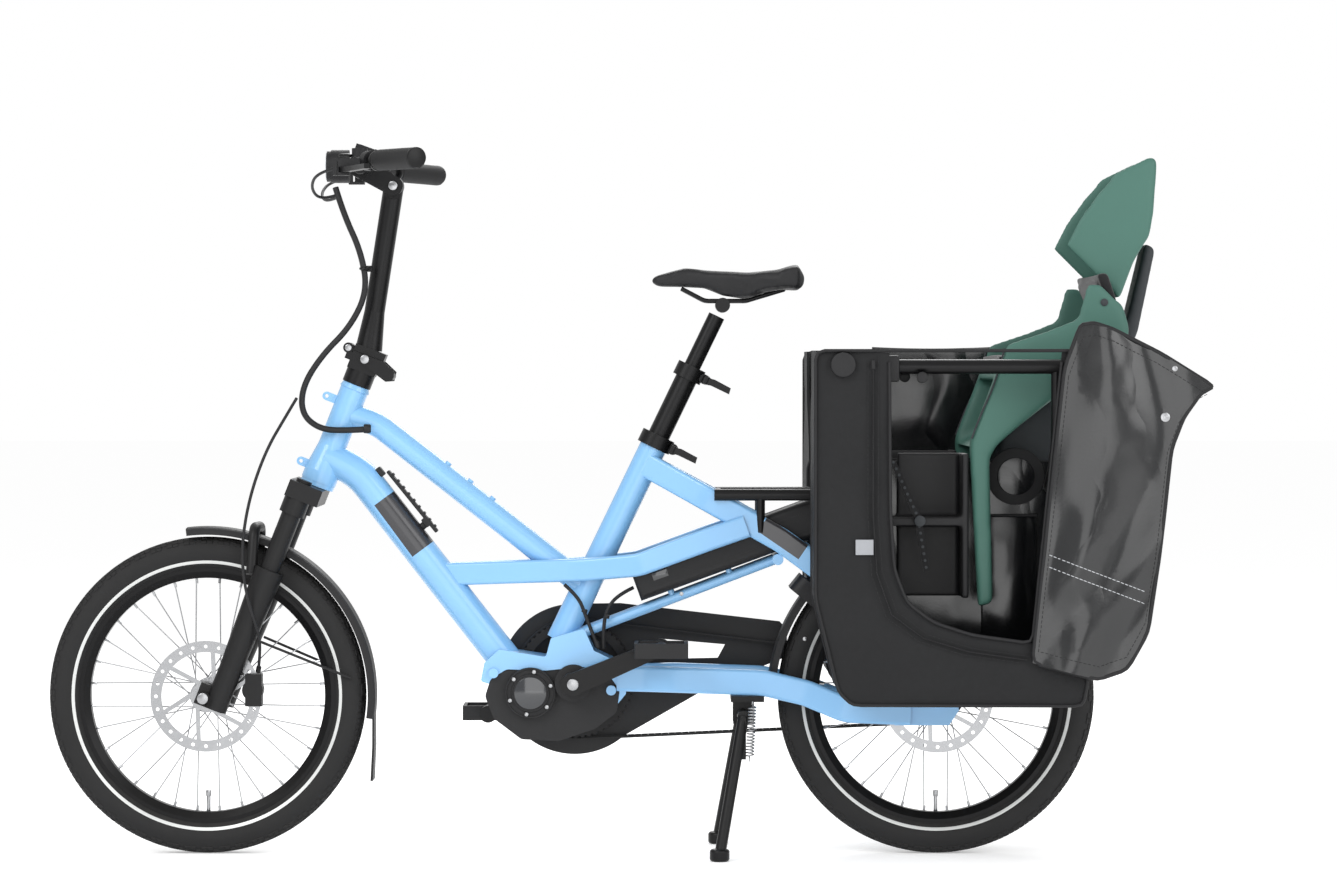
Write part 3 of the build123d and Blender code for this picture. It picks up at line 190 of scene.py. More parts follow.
def make_dust():
    """A thin layer of dust on faces that look up, thicker low down."""
    group, taken, given = shader_group(
        "road_dust", [("Place", "NodeSocketVector", None), ("Amount", "NodeSocketFloat", 0.15)],
        [("Mask", "NodeSocketFloat")])
    place = taken.outputs["Place"]
    facing = add(group, "ShaderNodeNewGeometry")
    up = add(group, "ShaderNodeSeparateXYZ", [(0, facing.outputs["Normal"])])
    parts = add(group, "ShaderNodeSeparateXYZ", [(0, place)])
    speck = noise(group, place, 60.0, 6.0)
    low = add(group, "ShaderNodeMapRange", [("Value", parts.outputs[2]), ("From Min", 0.75), ("From Max", 0.0),
                                            ("To Min", 0.25), ("To Max", 1.0)])
    lying = add(group, "ShaderNodeMapRange", [("Value", up.outputs[2]), ("From Min", -0.2), ("From Max", 1.0)])
    both = compute(group, "MULTIPLY", compute(group, "MULTIPLY", low.outputs[0], lying.outputs[0]), speck.outputs[0])
    group.links.new(compute(group, "MULTIPLY", both, taken.outputs["Amount"]), given.inputs["Mask"])
    return group


def make_weave():
    """Plain woven cloth: crossing threads along two directions of the surface."""
    group, taken, given = shader_group(
        "cloth_weave", [("Place", "NodeSocketVector", None), ("Pitch", "NodeSocketFloat", 0.002)],
        [("Height", "NodeSocketFloat"), ("Shade", "NodeSocketFloat")])
    place = taken.outputs["Place"]
    parts = add(group, "ShaderNodeSeparateXYZ", [(0, place)])
    turn = compute(group, "DIVIDE", 2 * math.pi, taken.outputs["Pitch"])
    along = compute(group, "MULTIPLY", compute(group, "ADD", parts.outputs[0], parts.outputs[1]), turn)
    across = compute(group, "MULTIPLY", parts.outputs[2], turn)
    wave = compute(group, "MULTIPLY", compute(group, "SINE", along), compute(group, "SINE", across))
    ribs = compute(group, "ADD", compute(group, "ABSOLUTE", compute(group, "SINE", along)),
                   compute(group, "ABSOLUTE", compute(group, "SINE", across)))
    height = compute(group, "ADD", compute(group, "MULTIPLY", wave, 0.35), compute(group, "MULTIPLY", ribs, 0.4))
    slub = noise(group, place, 120.0, 4.0)
    group.links.new(height, given.inputs["Height"])
    group.links.new(slub.outputs[0], given.inputs["Shade"])
    return group


def make_creases():
    """Broad folds of a heavy coated cloth, sharper along their crests."""
    group, taken, given = shader_group(
        "cloth_creases", [("Place", "NodeSocketVector", None), ("Scale", "NodeSocketFloat", 9.0)],
        [("Height", "NodeSocketFloat")])
    place = taken.outputs["Place"]
    bend = noise(group, place, 5.0, 2.0)
    push = add(group, "ShaderNodeVectorMath", [(0, bend.outputs["Color"])], operation="SCALE")
    push.inputs["Scale"].default_value = 0.16
    moved = add(group, "ShaderNodeVectorMath", [(0, place), (1, push.outputs[0])], operation="ADD")
    long = add(group, "ShaderNodeMapping", [("Vector", moved.outputs[0])])
    long.inputs["Rotation"].default_value = (0, 0.35, 0)
    long.inputs["Scale"].default_value = (1.0, 1.0, 0.3)
    folds = noise(group, long.outputs[0], taken.outputs["Scale"], 1.5, 0.4)
    crest = compute(group, "ABSOLUTE", compute(group, "SUBTRACT", folds.outputs[0], 0.5))
    group.links.new(compute(group, "ADD", compute(group, "MULTIPLY", folds.outputs[0], 0.7), crest),
                    given.inputs["Height"])
    return group


def make_panel_mask():
    """One inside a slanted strip, nought elsewhere; the strip lies in the middle plane."""
    group, taken, given = shader_group(
        "panel_mask",
        [("Place", "NodeSocketVector", None), ("Centre X", "NodeSocketFloat", 0.0),
         ("Centre Z", "NodeSocketFloat", 0.0), ("Slope", "NodeSocketFloat", 0.0),
         ("Half length", "NodeSocketFloat", 0.1), ("Half height", "NodeSocketFloat", 0.02)],
        [("Mask", "NodeSocketFloat")])
    parts = add(group, "ShaderNodeSeparateXYZ", [(0, taken.outputs["Place"])])
    x = compute(group, "SUBTRACT", parts.outputs[0], taken.outputs["Centre X"])
    z = compute(group, "SUBTRACT", parts.outputs[2], taken.outputs["Centre Z"])
    cosine = compute(group, "COSINE", taken.outputs["Slope"])
    sine = compute(group, "SINE", taken.outputs["Slope"])
    along = compute(group, "ADD", compute(group, "MULTIPLY", x, cosine), compute(group, "MULTIPLY", z, sine))
    across = compute(group, "SUBTRACT", compute(group, "MULTIPLY", z, cosine), compute(group, "MULTIPLY", x, sine))
    inside_long = compute(group, "LESS_THAN", compute(group, "ABSOLUTE", along), taken.outputs["Half length"])
    inside_high = compute(group, "LESS_THAN", compute(group, "ABSOLUTE", across), taken.outputs["Half height"])
    group.links.new(compute(group, "MULTIPLY", inside_long, inside_high), given.inputs["Mask"])
    return group


def finish(name, base, rough, metallic=0.0, grain=900.0, bump=0.12, vary=0.25, coat=0.0, dust=0.0, weave=0.0,
           rub=0.0, panel=None, panel_colour=(0, 0, 0), sheen=0.0, crease=0.0, crease_scale=9.0):
    """A surface finish from the shared groups; panel holds a strip's centre x, z, slope, half length and height."""
    rough_vary, dust_colour = 0.12, (0.30, 0.28, 0.25)
    material = bpy.data.materials.new(name)
    material.use_nodes = True
    material.diffuse_color = (*base, 1)
    tree = material.node_tree
    skin = tree.nodes["Principled BSDF"]
    for key, value in (("Metallic", metallic), ("Coat Weight", coat), ("Coat Roughness", 0.12),
                       ("Specular IOR Level", 0.5 if coat else 0.32), ("Sheen Weight", sheen),
                       ("Sheen Roughness", 0.45)):
        skin.inputs[key].default_value = value
    place = add(tree, "ShaderNodeTexCoord").outputs["Object"]
    grains = shared(tree, "surface_grain", place, [("Scale", grain)])
    shade, height = grains.outputs["Shade"], grains.outputs["Height"]
    if weave:
        cloth = shared(tree, "cloth_weave", place, [("Pitch", weave)])
        height = cloth.outputs["Height"]
        shade = compute(tree, "ADD", compute(tree, "MULTIPLY", height, 0.55),
                        compute(tree, "MULTIPLY", cloth.outputs["Shade"], 0.5))
    surface = lay_over(tree, shade, [value * (1 - vary) for value in base],
                       [min(1.0, value * (1 + vary) + 0.004 * vary) for value in base])
    roughness = compute(tree, "ADD", compute(tree, "MULTIPLY", grains.outputs["Shade"], rough_vary),
                        rough - rough_vary / 2)
    if rub:
        surface = lay_over(tree, compute(tree, "MULTIPLY", grains.outputs["Rub"], rub), surface,
                           [min(1, value * 1.6 + 0.03) for value in base])
    if panel:
        keys = ("Centre X", "Centre Z", "Slope", "Half length", "Half height")
        mark = shared(tree, "panel_mask", place, list(zip(keys, panel)))
        surface = lay_over(tree, mark.outputs["Mask"], surface, panel_colour)
    if dust:
        layer = shared(tree, "road_dust", place, [("Amount", dust)]).outputs["Mask"]
        surface = lay_over(tree, layer, surface, dust_colour)
        roughness = compute(tree, "ADD", roughness, layer)
    tree.links.new(surface, skin.inputs["Base Color"])
    tree.links.new(roughness, skin.inputs["Roughness"])
    relief = add(tree, "ShaderNodeBump", [("Height", height), ("Strength", bump), ("Distance", 0.0006)])
    if crease:
        folds = shared(tree, "cloth_creases", place, [("Scale", crease_scale)])
        broad = add(tree, "ShaderNodeBump", [("Height", folds.outputs["Height"]), ("Strength", crease),
                                             ("Distance", 0.02)])
        tree.links.new(broad.outputs[0], relief.inputs["Normal"])
    tree.links.new(relief.outputs[0], skin.inputs["Normal"])


def make_finishes(colours, sizes):
    make_grain(), make_dust(), make_weave(), make_creases(), make_panel_mask()
    paint, dark, metal, rubber = colours.paint, colours.plastic, colours.metal, colours.rubber
    for name, panel in (("", None), ("_lower_panel", (-0.349, 0.540, -0.935, 0.052, 0.024)),
                        ("_upper_panel", (0.264, 0.516, -0.60, 0.040, 0.014))):
        finish("paint_coat" + name, paint, 0.33, grain=500, bump=0.03, vary=0.05, coat=0.5, dust=0.05,
               panel=panel, panel_colour=tuple(colours.panel))
    finish("dark_metal", metal, 0.36, 0.35, grain=1400, bump=0.06, vary=0.3, rub=0.12, dust=0.03)
    finish("fork_coating", metal, 0.45, 0.15, grain=1100, bump=0.1, vary=0.3, rub=0.08, dust=0.04)
    finish("dark_plastic", dark, 0.5, grain=1500, bump=0.25, vary=0.3, rub=0.08, dust=0.03)
    finish("motor_housing", colours.motor, 0.56, grain=1700, bump=0.4, vary=0.3, rub=0.1, dust=0.03)
    finish("tyre_rubber", rubber, 0.72, grain=1300, bump=0.35, vary=0.35, dust=0.08)
    finish("grip_rubber", rubber, 0.66, grain=900, bump=0.5, vary=0.3, weave=0.0034)
    finish("belt_rubber", rubber, 0.6, grain=1500, bump=0.25, vary=0.3, dust=0.03)
    finish("bare_steel", colours.steel, 0.27, 1.0, grain=1200, bump=0.05, vary=0.15, dust=0.08)
    finish("dark_rim", metal, 0.34, 0.5, grain=1300, bump=0.05, vary=0.25, dust=0.04)
    finish("seat_shell", colours.seat, 0.52, grain=1600, bump=0.22, vary=0.07, rub=0.04, dust=0.03)
    finish("seat_back", colours.strut, 0.5, grain=1500, bump=0.22, vary=0.15)
    finish("pad_cloth", dark, 0.85, grain=700, bump=0.35, vary=0.35, weave=0.003, sheen=0.25)
    finish("strap_webbing", dark, 0.78, grain=900, bump=0.5, vary=0.4, weave=0.0018, sheen=0.2)
    finish("saddle_cover", dark, 0.55, grain=620, bump=0.45, vary=0.25)
    finish("bag_cloth", colours.fabric, 0.68, grain=700, bump=0.45, vary=0.5, weave=sizes.weave_size, sheen=0.02,
           crease=0.45, crease_scale=8.0)
    finish("bag_lining", colours.lining, 0.2, grain=240, bump=0.12, vary=0.4, coat=0.3, crease=0.75)
    finish("bag_piping", dark, 0.6, grain=1200, bump=0.3, vary=0.25)
    finish("reflective_stripe", colours.reflector, 0.35, 0.3, grain=1500, bump=0.2, vary=0.12, dust=0.03)
    finish("pale_thread", (0.42, 0.43, 0.45), 0.8, grain=1500, bump=0.4, vary=0.2)
    finish("reflective_tag", (0.30, 0.31, 0.33), 0.4, 0.2, grain=1200, bump=0.2, vary=0.15)
    finish("lamp_lens", (0.55, 0.57, 0.6), 0.1, grain=500, bump=0.05, vary=0.2, coat=1.0)
    finish("display_glass", (0.01, 0.012, 0.016), 0.06, grain=500, bump=0.0, vary=0.1, coat=1.0)


def find(name):
    return bpy.data.materials[name]


# ---- Piece helpers ---------------------------------------------------------------------------------


def make_piece(name, body, mesh, slot, *looks):
    """Turns a bmesh into a piece that rides on a body, or on none when no body is given."""
    data = bpy.data.meshes.new(name)
    mesh.to_mesh(data)
    mesh.free()
    thing = bpy.data.objects.new(name, data)
    bpy.context.scene.collection.objects.link(thing)
    for look in looks:
        data.materials.append(find(look))
    if body:
        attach(thing, body)
    return thing


def shade(thing, angle=35.0):
    """Smooth faces, with edges sharper than the angle kept crisp."""
    mesh = bmesh.new()
    mesh.from_mesh(thing.data)
    for face in mesh.faces:
        face.smooth = True
    for edge in mesh.edges:
        if len(edge.link_faces) == 2:
            edge.smooth = edge.calc_face_angle(0) < math.radians(angle)
    mesh.to_mesh(thing.data)
    mesh.free()
    return thing


def settle(thing):
    """Applies every modifier on a piece."""
    view = bpy.context.evaluated_depsgraph_get()
    view.update()
    made = bpy.data.meshes.new_from_object(thing.evaluated_get(view), preserve_all_data_layers=True, depsgraph=view)
    thing.modifiers.clear()
    thing.data = made
    return thing


def cad_copy(node, wanted=None):
    """A merged bmesh copy of a node; wanted keeps only the shells whose middle it accepts."""
    mesh = bmesh.new()
    mesh.from_mesh(nodes[node].data)
    bmesh.ops.remove_doubles(mesh, verts=mesh.verts, dist=2e-6)
    if wanted:
        left, doomed = set(mesh.verts), []
        while left:
            shell, waiting = set(), [left.pop()]
            while waiting:
                vert = waiting.pop()
                shell.add(vert)
                for edge in vert.link_edges:
                    other = edge.other_vert(vert)
                    if other in left:
                        left.discard(other)
                        waiting.append(other)
            middle = sum((vert.co for vert in shell), Vector()) / len(shell)
            if not wanted(middle):
                doomed += list(shell)
        bmesh.ops.delete(mesh, geom=doomed, context="VERTS")
    return mesh


def rounded(name, node, body, slot, look, voxel, rounds):
    """A node's shape with softly rounded edges."""
    thing = make_piece(name, body, cad_copy(node), slot, look)
    remesh = thing.modifiers.new("Remesh", "REMESH")
    remesh.mode, remesh.voxel_size = "VOXEL", voxel
    settle(thing)
    mesh = bmesh.new()
    mesh.from_mesh(thing.data)
    for _ in range(rounds):
        bmesh.ops.smooth_vert(mesh, verts=mesh.verts, factor=0.5, use_axis_x=True, use_axis_y=True, use_axis_z=True)
    for face in mesh.faces:
        face.smooth, face.material_index = True, 0
    mesh.to_mesh(thing.data)
    mesh.free()
    if not thing.data.materials:
        thing.data.materials.append(find(look))
    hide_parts(node)
    return thing


def swell(thing, pressure, cap):
    """Pads a piece by a short cloth simulation, with a limit on how far any point moves."""
    last_frame = 20
    scene = bpy.context.scene
    before = [vert.co.copy() for vert in thing.data.vertices]
    cloth = thing.modifiers.new("Cloth", "CLOTH")
    cloth.settings.quality = 4
    cloth.settings.use_pressure = True
    cloth.settings.uniform_pressure_force = pressure
    cloth.settings.effector_weights.gravity = 0.0
    cloth.point_cache.frame_start, cloth.point_cache.frame_end = 1, last_frame
    for number in range(1, last_frame + 1):
        scene.frame_set(number)
    view = bpy.context.evaluated_depsgraph_get()
    after = [vert.co.copy() for vert in thing.evaluated_get(view).data.vertices]
    thing.modifiers.clear()
    scene.frame_set(1)
    for vert, old, new in zip(thing.data.vertices, before, after):
        move = new - old
        if move.length > cap:
            move *= cap / move.length
        vert.co = old + move
    subdivide = thing.modifiers.new("Subdivision", "SUBSURF")
    subdivide.levels = subdivide.render_levels = 1
    return thing


def tube_mesh(points, radius, smooth=False, closed=False, sides=3, fineness=8):
    """A bmesh tube along points, straight between them or as a smooth spline."""
    curve = bpy.data.curves.new("tube_path", "CURVE")
    curve.dimensions = "3D"
    curve.bevel_depth, curve.bevel_resolution, curve.use_fill_caps = radius, sides, True
    spline = curve.splines.new("NURBS" if smooth else "POLY")
    spline.points.add(len(points) - 1)
    for spot, point in zip(spline.points, points):
        spot.co = (*point, 1.0)
    spline.use_cyclic_u = closed
    if smooth:
        spline.order_u = 3
        spline.use_endpoint_u = not closed
        spline.resolution_u = fineness
    path = bpy.data.objects.new("tube_path", curve)
    bpy.context.scene.collection.objects.link(path)
    view = bpy.context.evaluated_depsgraph_get()
    data = bpy.data.meshes.new_from_object(path.evaluated_get(view), depsgraph=view)
    mesh = bmesh.new()
    mesh.from_mesh(data)
    for face in mesh.faces:
        face.smooth, face.material_index = True, 0
    bpy.data.objects.remove(path)
    bpy.data.curves.remove(curve)
    bpy.data.meshes.remove(data)
    return mesh


def join(target, other, index=0):
    """Adds one bmesh to another, its faces given a material index."""
    for face in other.faces:
        face.material_index = index
    data = bpy.data.meshes.new("joined")
    other.to_mesh(data)
    other.free()
    target.from_mesh(data)
    bpy.data.meshes.remove(data)


def cord_piece(name, body, points, radius, look="dark_plastic", slot="rubber"):
    """A held cable: a smooth spline of one length."""
    mesh = tube_mesh(points, radius, smooth=True, sides=4, fineness=12)
    return make_piece(name, body, mesh, slot, look)


def facing(direction, place):
    """A matrix that turns +Z to a direction and moves to a place."""
    return Matrix.Translation(place) @ Vector(direction).to_track_quat("Z", "Y").to_matrix().to_4x4()


def disc(mesh, place, direction, radius, height, edge=0.0008, index=0, sides=24):
    """A short round boss with a rounded rim, standing out from a place along a direction."""
    made = bmesh.ops.create_cone(mesh, cap_ends=True, segments=sides, radius1=radius, radius2=radius, depth=height,
                                 matrix=facing(direction, place) @ Matrix.Translation((0, 0, height / 2)))
    verts = made["verts"]
    rims = {rim for vert in verts for rim in vert.link_edges if rim.calc_face_angle(0) > 1.0}
    faces = {face for vert in verts for face in vert.link_faces}
    for face in faces:
        face.material_index = index
    if edge:
        bmesh.ops.bevel(mesh, geom=list(rims), offset=edge, offset_type="OFFSET", segments=2, profile=0.5,
                        affect="EDGES", material=-1)


def socket_bolt(mesh, place, direction, radius, height, index=0):
    """A round bolt head with a six-sided socket in its middle."""
    disc(mesh, place, direction, radius, height, radius * 0.12, index)
    top = Vector(place) + Vector(direction).normalized() * height
    made = bmesh.ops.create_circle(mesh, cap_ends=True, segments=6, radius=radius * 0.46,
                                   matrix=facing(direction, top + Vector(direction).normalized() * 0.00005))
    face = next(face for vert in made["verts"] for face in vert.link_faces)
    hole = bmesh.ops.inset_region(mesh, faces=[face], thickness=radius * 0.06, depth=0.0)
    bmesh.ops.translate(mesh, verts=list(face.verts), vec=-Vector(direction).normalized() * height * 0.55)
    for part in hole["faces"] + [face]:
        part.material_index = index


def box_bar(mesh, place, size, turn=None, edge=0.0008, index=0):
    """A small bar with rounded edges; turn is a rotation matrix."""
    matrix = Matrix.Translation(place) @ (turn or Matrix.Identity(4)) @ Matrix.Diagonal((*size, 1))
    made = bmesh.ops.create_cube(mesh, size=1.0, matrix=matrix)
    faces = {face for vert in made["verts"] for face in vert.link_faces}
    for face in faces:
        face.material_index = index
    if edge:
        edges = {rim for vert in made["verts"] for rim in vert.link_edges}
        bmesh.ops.bevel(mesh, geom=list(edges), offset=edge, offset_type="OFFSET", segments=2, profile=0.5,
                        affect="EDGES", material=-1)


def spread(points, step, closed=False):
    """Places at even steps along straight runs, each with the run's direction."""
    runs = list(zip(points, points[1:] + points[:1])) if closed else list(zip(points, points[1:]))
    placed, spare = [], 0.0
    for start, end in runs:
        start, end = Vector(start), Vector(end)
        length = (end - start).length
        heading = (end - start) / length
        at = spare
        while at < length:
            placed.append((start + heading * at, heading))
            at += step
        spare = at - length
    return placed


# ---- Wheels and drive ------------------------------------------------------------------------------


def make_tyre(name, body, axle, sizes):
    crown = [(0.0, 0.2564), (0.0052, 0.2563), (0.0104, 0.2557), (0.0152, 0.2543), (0.0196, 0.2512), (0.0232, 0.2468),
             (0.0258, 0.2410), (0.0272, 0.2345), (0.0268, 0.2275), (0.0248, 0.2200), (0.0228, 0.2150), (0.0192, 0.2100),
             (0.0150, 0.2072), (0.0125, 0.2062), (0.0100, 0.2062)]
    loop = [(-y, r) for y, r in reversed(crown)] + crown[1:]
    mesh = bmesh.new()
    verts = [mesh.verts.new((axle[0] + r, axle[1] + y, axle[2])) for y, r in loop]
    edges = [mesh.edges.new(pair) for pair in zip(verts, verts[1:] + verts[:1])]
    bmesh.ops.spin(mesh, geom=verts + edges, cent=axle, axis=(0, 1, 0), angle=2 * math.pi, steps=sizes.tread_steps,
                   use_merge=True)
    bmesh.ops.remove_doubles(mesh, verts=mesh.verts, dist=1e-6)
    bmesh.ops.recalc_face_normals(mesh, faces=mesh.faces)
    blocks = []
    for face in mesh.faces:
        middle = face.calc_center_median() - Vector(axle)
        radius, side = math.hypot(middle.x, middle.z), abs(middle.y)
        if 0.2160 < radius < 0.2195 and side > 0.02:
            face.material_index = 1
        if radius > 0.2485 and side < 0.0222:
            step = int(math.floor(math.atan2(middle.z, middle.x) / (2 * math.pi) * sizes.tread_steps + 0.5))
            strip = int(side / 0.005)
            if (step + strip * (1 if middle.y > 0 else 2)) % 3 or strip == 0 and step % 2:
                blocks.append(face)
    bmesh.ops.inset_individual(mesh, faces=blocks, thickness=0.0007, depth=sizes.tread_depth)
    thing = make_piece(name, body, mesh, "tyre", "tyre_rubber", "reflective_stripe")
    shade(thing, 28)
    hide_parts(name.replace("_piece", ""))


def belt_spots():
    """Where the belt's teeth lie: place and outward direction, in turn along the belt."""
    ring_r, cog_r = (belt_pitch * teeth / (2 * math.pi) - 0.0005 for teeth in (ring_teeth, cog_teeth))
    ring, cog = Vector((crank_centre.x, belt_plane, crank_centre.z)), Vector((rear_axle[0], belt_plane, rear_axle[2]))
    run = cog - ring
    heading = math.atan2(run.z, run.x)
    tilt = math.acos((ring_r - cog_r) / run.length)
    found = []
    for centre, radius, teeth, near in ((ring, ring_r, ring_teeth, False), (cog, cog_r, cog_teeth, True)):
        for number in range(teeth):
            angle = 2 * math.pi * (number + 0.75) / teeth
            off = abs((angle - heading + math.pi) % (2 * math.pi) - math.pi)
            if off <= tilt if near else off >= tilt:
                out = Vector((math.cos(angle), 0, math.sin(angle)))
                found.append((centre + out * radius, out))
    for sign in (1, -1):
        out = Vector((math.cos(heading + sign * tilt), 0, math.sin(heading + sign * tilt)))
        start, end = ring + out * ring_r, cog + out * cog_r
        count = int((end - start).length / belt_pitch)
        for number in range(1, count):
            found.append((start.lerp(end, number / count), out))
    return found


def make_belt(sizes):
    mesh = cad_copy("drive_belt")
    for spot, out in belt_spots():
        box_bar(mesh, spot - out * (sizes.tooth_depth / 2 - 0.0004), (0.0040, 0.0108, sizes.tooth_depth),
                facing(out, (0, 0, 0)), edge=0)
    thing = make_piece("toothed_belt", "frame", mesh, "belt", "belt_rubber")
    shade(thing, 30)
    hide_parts("drive_belt")


def make_valve_and_nuts():
    for name, body, axle in (("front_valve", "front_wheel", front_axle), ("rear_valve", "rear_wheel", rear_axle)):
        mesh = bmesh.new()
        place = Vector(axle) + Vector((0, 0, -0.192))
        disc(mesh, place, (0, 0, 1), 0.0032, 0.026, 0.0006)
        disc(mesh, place + Vector((0, 0, 0.026)), (0, 0, 1), 0.0042, 0.010, 0.0012)
        for number in range(spoke_count):
            angle = 2 * math.pi * (number + 0.5) / spoke_count
            out = Vector((math.cos(angle), 0, math.sin(angle)))
            disc(mesh, Vector(axle) + out * 0.1905 + Vector((0, 0.003 if number % 2 else -0.003, 0)), -out, 0.0022,
                 0.008, 0.0, sides=8)
        shade(make_piece(name, body, mesh, "steel", "bare_steel"))


# ---- Bags ------------------------------------------------------------------------------------------

bag_edge = [(0.309, 0.818), (0.309, 0.430), (0.345, 0.284), (0.367, 0.263), (0.728, 0.262), (0.735, 0.300),
            (0.720, 0.818)]
opening_edge = [(0.424, 0.814), (0.426, 0.566), (0.432, 0.476), (0.452, 0.424), (0.493, 0.393), (0.554, 0.373),
                (0.648, 0.360), (0.695, 0.814)]
door_edge = [(0.698, 0.792), (0.722, 0.858), (0.742, 0.861), (0.772, 0.851), (0.845, 0.815), (0.930, 0.762),
             (0.909, 0.751), (0.883, 0.714), (0.864, 0.664), (0.853, 0.567), (0.844, 0.486), (0.828, 0.379),
             (0.795, 0.320), (0.750, 0.304), (0.648, 0.330)]
zip_line = [(0.399, 0.802), (0.399, 0.560), (0.405, 0.470), (0.428, 0.405), (0.478, 0.368), (0.548, 0.347),
            (0.640, 0.334)]


def ripple(x, z, seed):
    """A soft uneven wave between about -1 and 1."""
    return (math.sin(11 * x + 7 * z + seed) * 0.4 + math.sin(19 * z - 8 * x + 2 * seed) * 0.3
            + math.sin(34 * x + 23 * z + 3 * seed) * 0.2 + math.sin(61 * z + 12 * x + seed) * 0.1)


def soften_edge(points, reach=0.25):
    """The same outline with two points at each corner, so that its corners turn gently."""
    made = []
    for before, corner, after in zip(points[-1:] + points[:-1], points, points[1:] + points[:1]):
        before, corner, after = Vector(before), Vector(corner), Vector(after)
        for other in (before, after):
            step = min(0.014, (other - corner).length * reach)
            made.append(tuple(corner + (other - corner).normalized() * step))
        made.insert(-1, tuple(corner.lerp((Vector(made[-2]) + Vector(made[-1])) / 2, 0.5)))
    return made


def divide(mesh, low, high, step):
    """Cuts a mesh along even planes so that its flat faces can bend."""
    for axis, (start, end) in enumerate(zip(low, high)):
        for number in range(1, int((end - start) / step)):
            place = Vector()
            place[axis] = start + (end - start) * number / int((end - start) / step)
            heading = Vector()
            heading[axis] = 1
            bmesh.ops.bisect_plane(mesh, geom=mesh.verts[:] + mesh.edges[:] + mesh.faces[:], plane_co=place,
                                   plane_no=heading, dist=1e-5)


def bar_row(mesh, points, step, size, index, closed=False, depth=None):
    """Small bars in a row along a line; depth gives each its own y from its x and z."""
    for spot, heading in spread(points, step, closed):
        if depth:
            spot.y = depth(spot.x, spot.z)
        box_bar(mesh, spot, size, heading.to_track_quat("X", "Y").to_matrix().to_4x4(), edge=0, index=index)


def bulge(value, low, length):
    """Rises from nought at low to one half way along a length and falls to nought again."""
    return math.sin(math.pi * min(1, max(0, (value - low) / length)))


def make_bag(name, side, sizes):
    mesh = cad_copy("side_bags", lambda middle: middle.y * side > 0)
    divide(mesh, (0.309, -0.29, 0.262), (0.735, 0.29, 0.818), 0.017)
    centre = Vector((0.52, side * 0.193, 0.54))
    for face in mesh.faces:
        face.material_index = 1 if face.normal.dot(centre - face.calc_center_median()) > 0 else 0
    for vert in mesh.verts:
        x, y, z = vert.co
        out = min(1.0, max(0.0, (abs(y) - 0.12) / 0.15))
        hang = bulge(x, 0.309, 0.42) * bulge(z, 0.262, 0.556)
        full = 0.010 if side > 0 else 0.0
        vert.co.y += side * out * (ripple(1.5 * x, 1.5 * z, 1.3 * side) * 0.003 - 0.0022 + hang * full)
        vert.co.x += (0.5 - abs((x - 0.309) / 0.426)) * 0.006 * ripple(y * 1.7, z, 2.0)
        if z > 0.80:
            vert.co.z -= 0.006 * bulge(x, 0.36, 0.33) * out
    plane = side * bag_face
    at_edge = [(x, plane, z) for x, z in soften_edge(bag_edge)]
    join(mesh, tube_mesh(at_edge, sizes.piping_radius, closed=True), 2)
    inner = [(x, side * 0.0975, z) for x, z in soften_edge([(x, min(z, 0.64)) for x, z in bag_edge])]
    join(mesh, tube_mesh(inner, sizes.piping_radius * 0.8, closed=True), 2)
    if side < 0:
        join(mesh, tube_mesh([(x, -0.2912, z) for x, z in soften_edge(opening_edge)[2:-2]], sizes.piping_radius), 2)
    else:
        join(mesh, tube_mesh([(x, 0.2955, z) for x, z in soften_edge(opening_edge)], 0.0016, closed=True), 2)
    bar_row(mesh, [(x, side * 0.2914, z) for x, z in zip_line], sizes.zip_tooth * 1.5,
            (sizes.zip_tooth, 0.0016, 0.0052), 2)
    for shift in (-0.008, 0.008):
        bar_row(mesh, [(x + shift, side * 0.2906, z + shift * 0.6) for x, z in zip_line], sizes.stitch_length * 1.5,
                (sizes.stitch_length, 0.0008, 0.0009), 2)
    if side < 0:
        box_bar(mesh, (0.3855, -0.2917, 0.5105), (0.028, 0.0014, 0.024), None, 0.0005, 3)
        disc(mesh, (0.637, -0.1005, 0.617), (0, -1, 0), 0.046, 0.005, 0.0015, 2, 40)
        disc(mesh, (0.637, -0.1055, 0.617), (0, -1, 0), 0.030, 0.003, 0.001, 1, 40)
        box_bar(mesh, (0.626, -0.1035, 0.42), (0.088, 0.006, 0.268), None, 0.002, 1)
        join(mesh, tube_mesh([(0.582, -0.1075, 0.554), (0.670, -0.1075, 0.554)], 0.0024), 2)
    box_bar(mesh, (0.399, side * 0.294, 0.796), (0.006, 0.003, 0.014), None, 0.0008, 2)
    thing = make_piece(name, "frame", mesh, "bag_fabric", "bag_cloth", "bag_lining", "bag_piping", "reflective_tag")
    return shade(thing, 40)


def door_swell(x, z):
    """How far the soft door stands out at a place: a long roll near its hinge, and folds beyond it."""
    across = x - 0.648 - (z - 0.33) * 0.108
    roll = 0.012 * math.exp(-((across - 0.062) / 0.036) ** 2)
    folds = 0.0032 * math.sin(60 * across + 5 * math.sin(7 * z)) + 0.0018 * math.sin(23 * z + 40 * across)
    return max(0.0, min(1.0, across / 0.03)) * (roll + folds * max(0, min(1, (0.25 - across) / 0.08)) + 0.003)


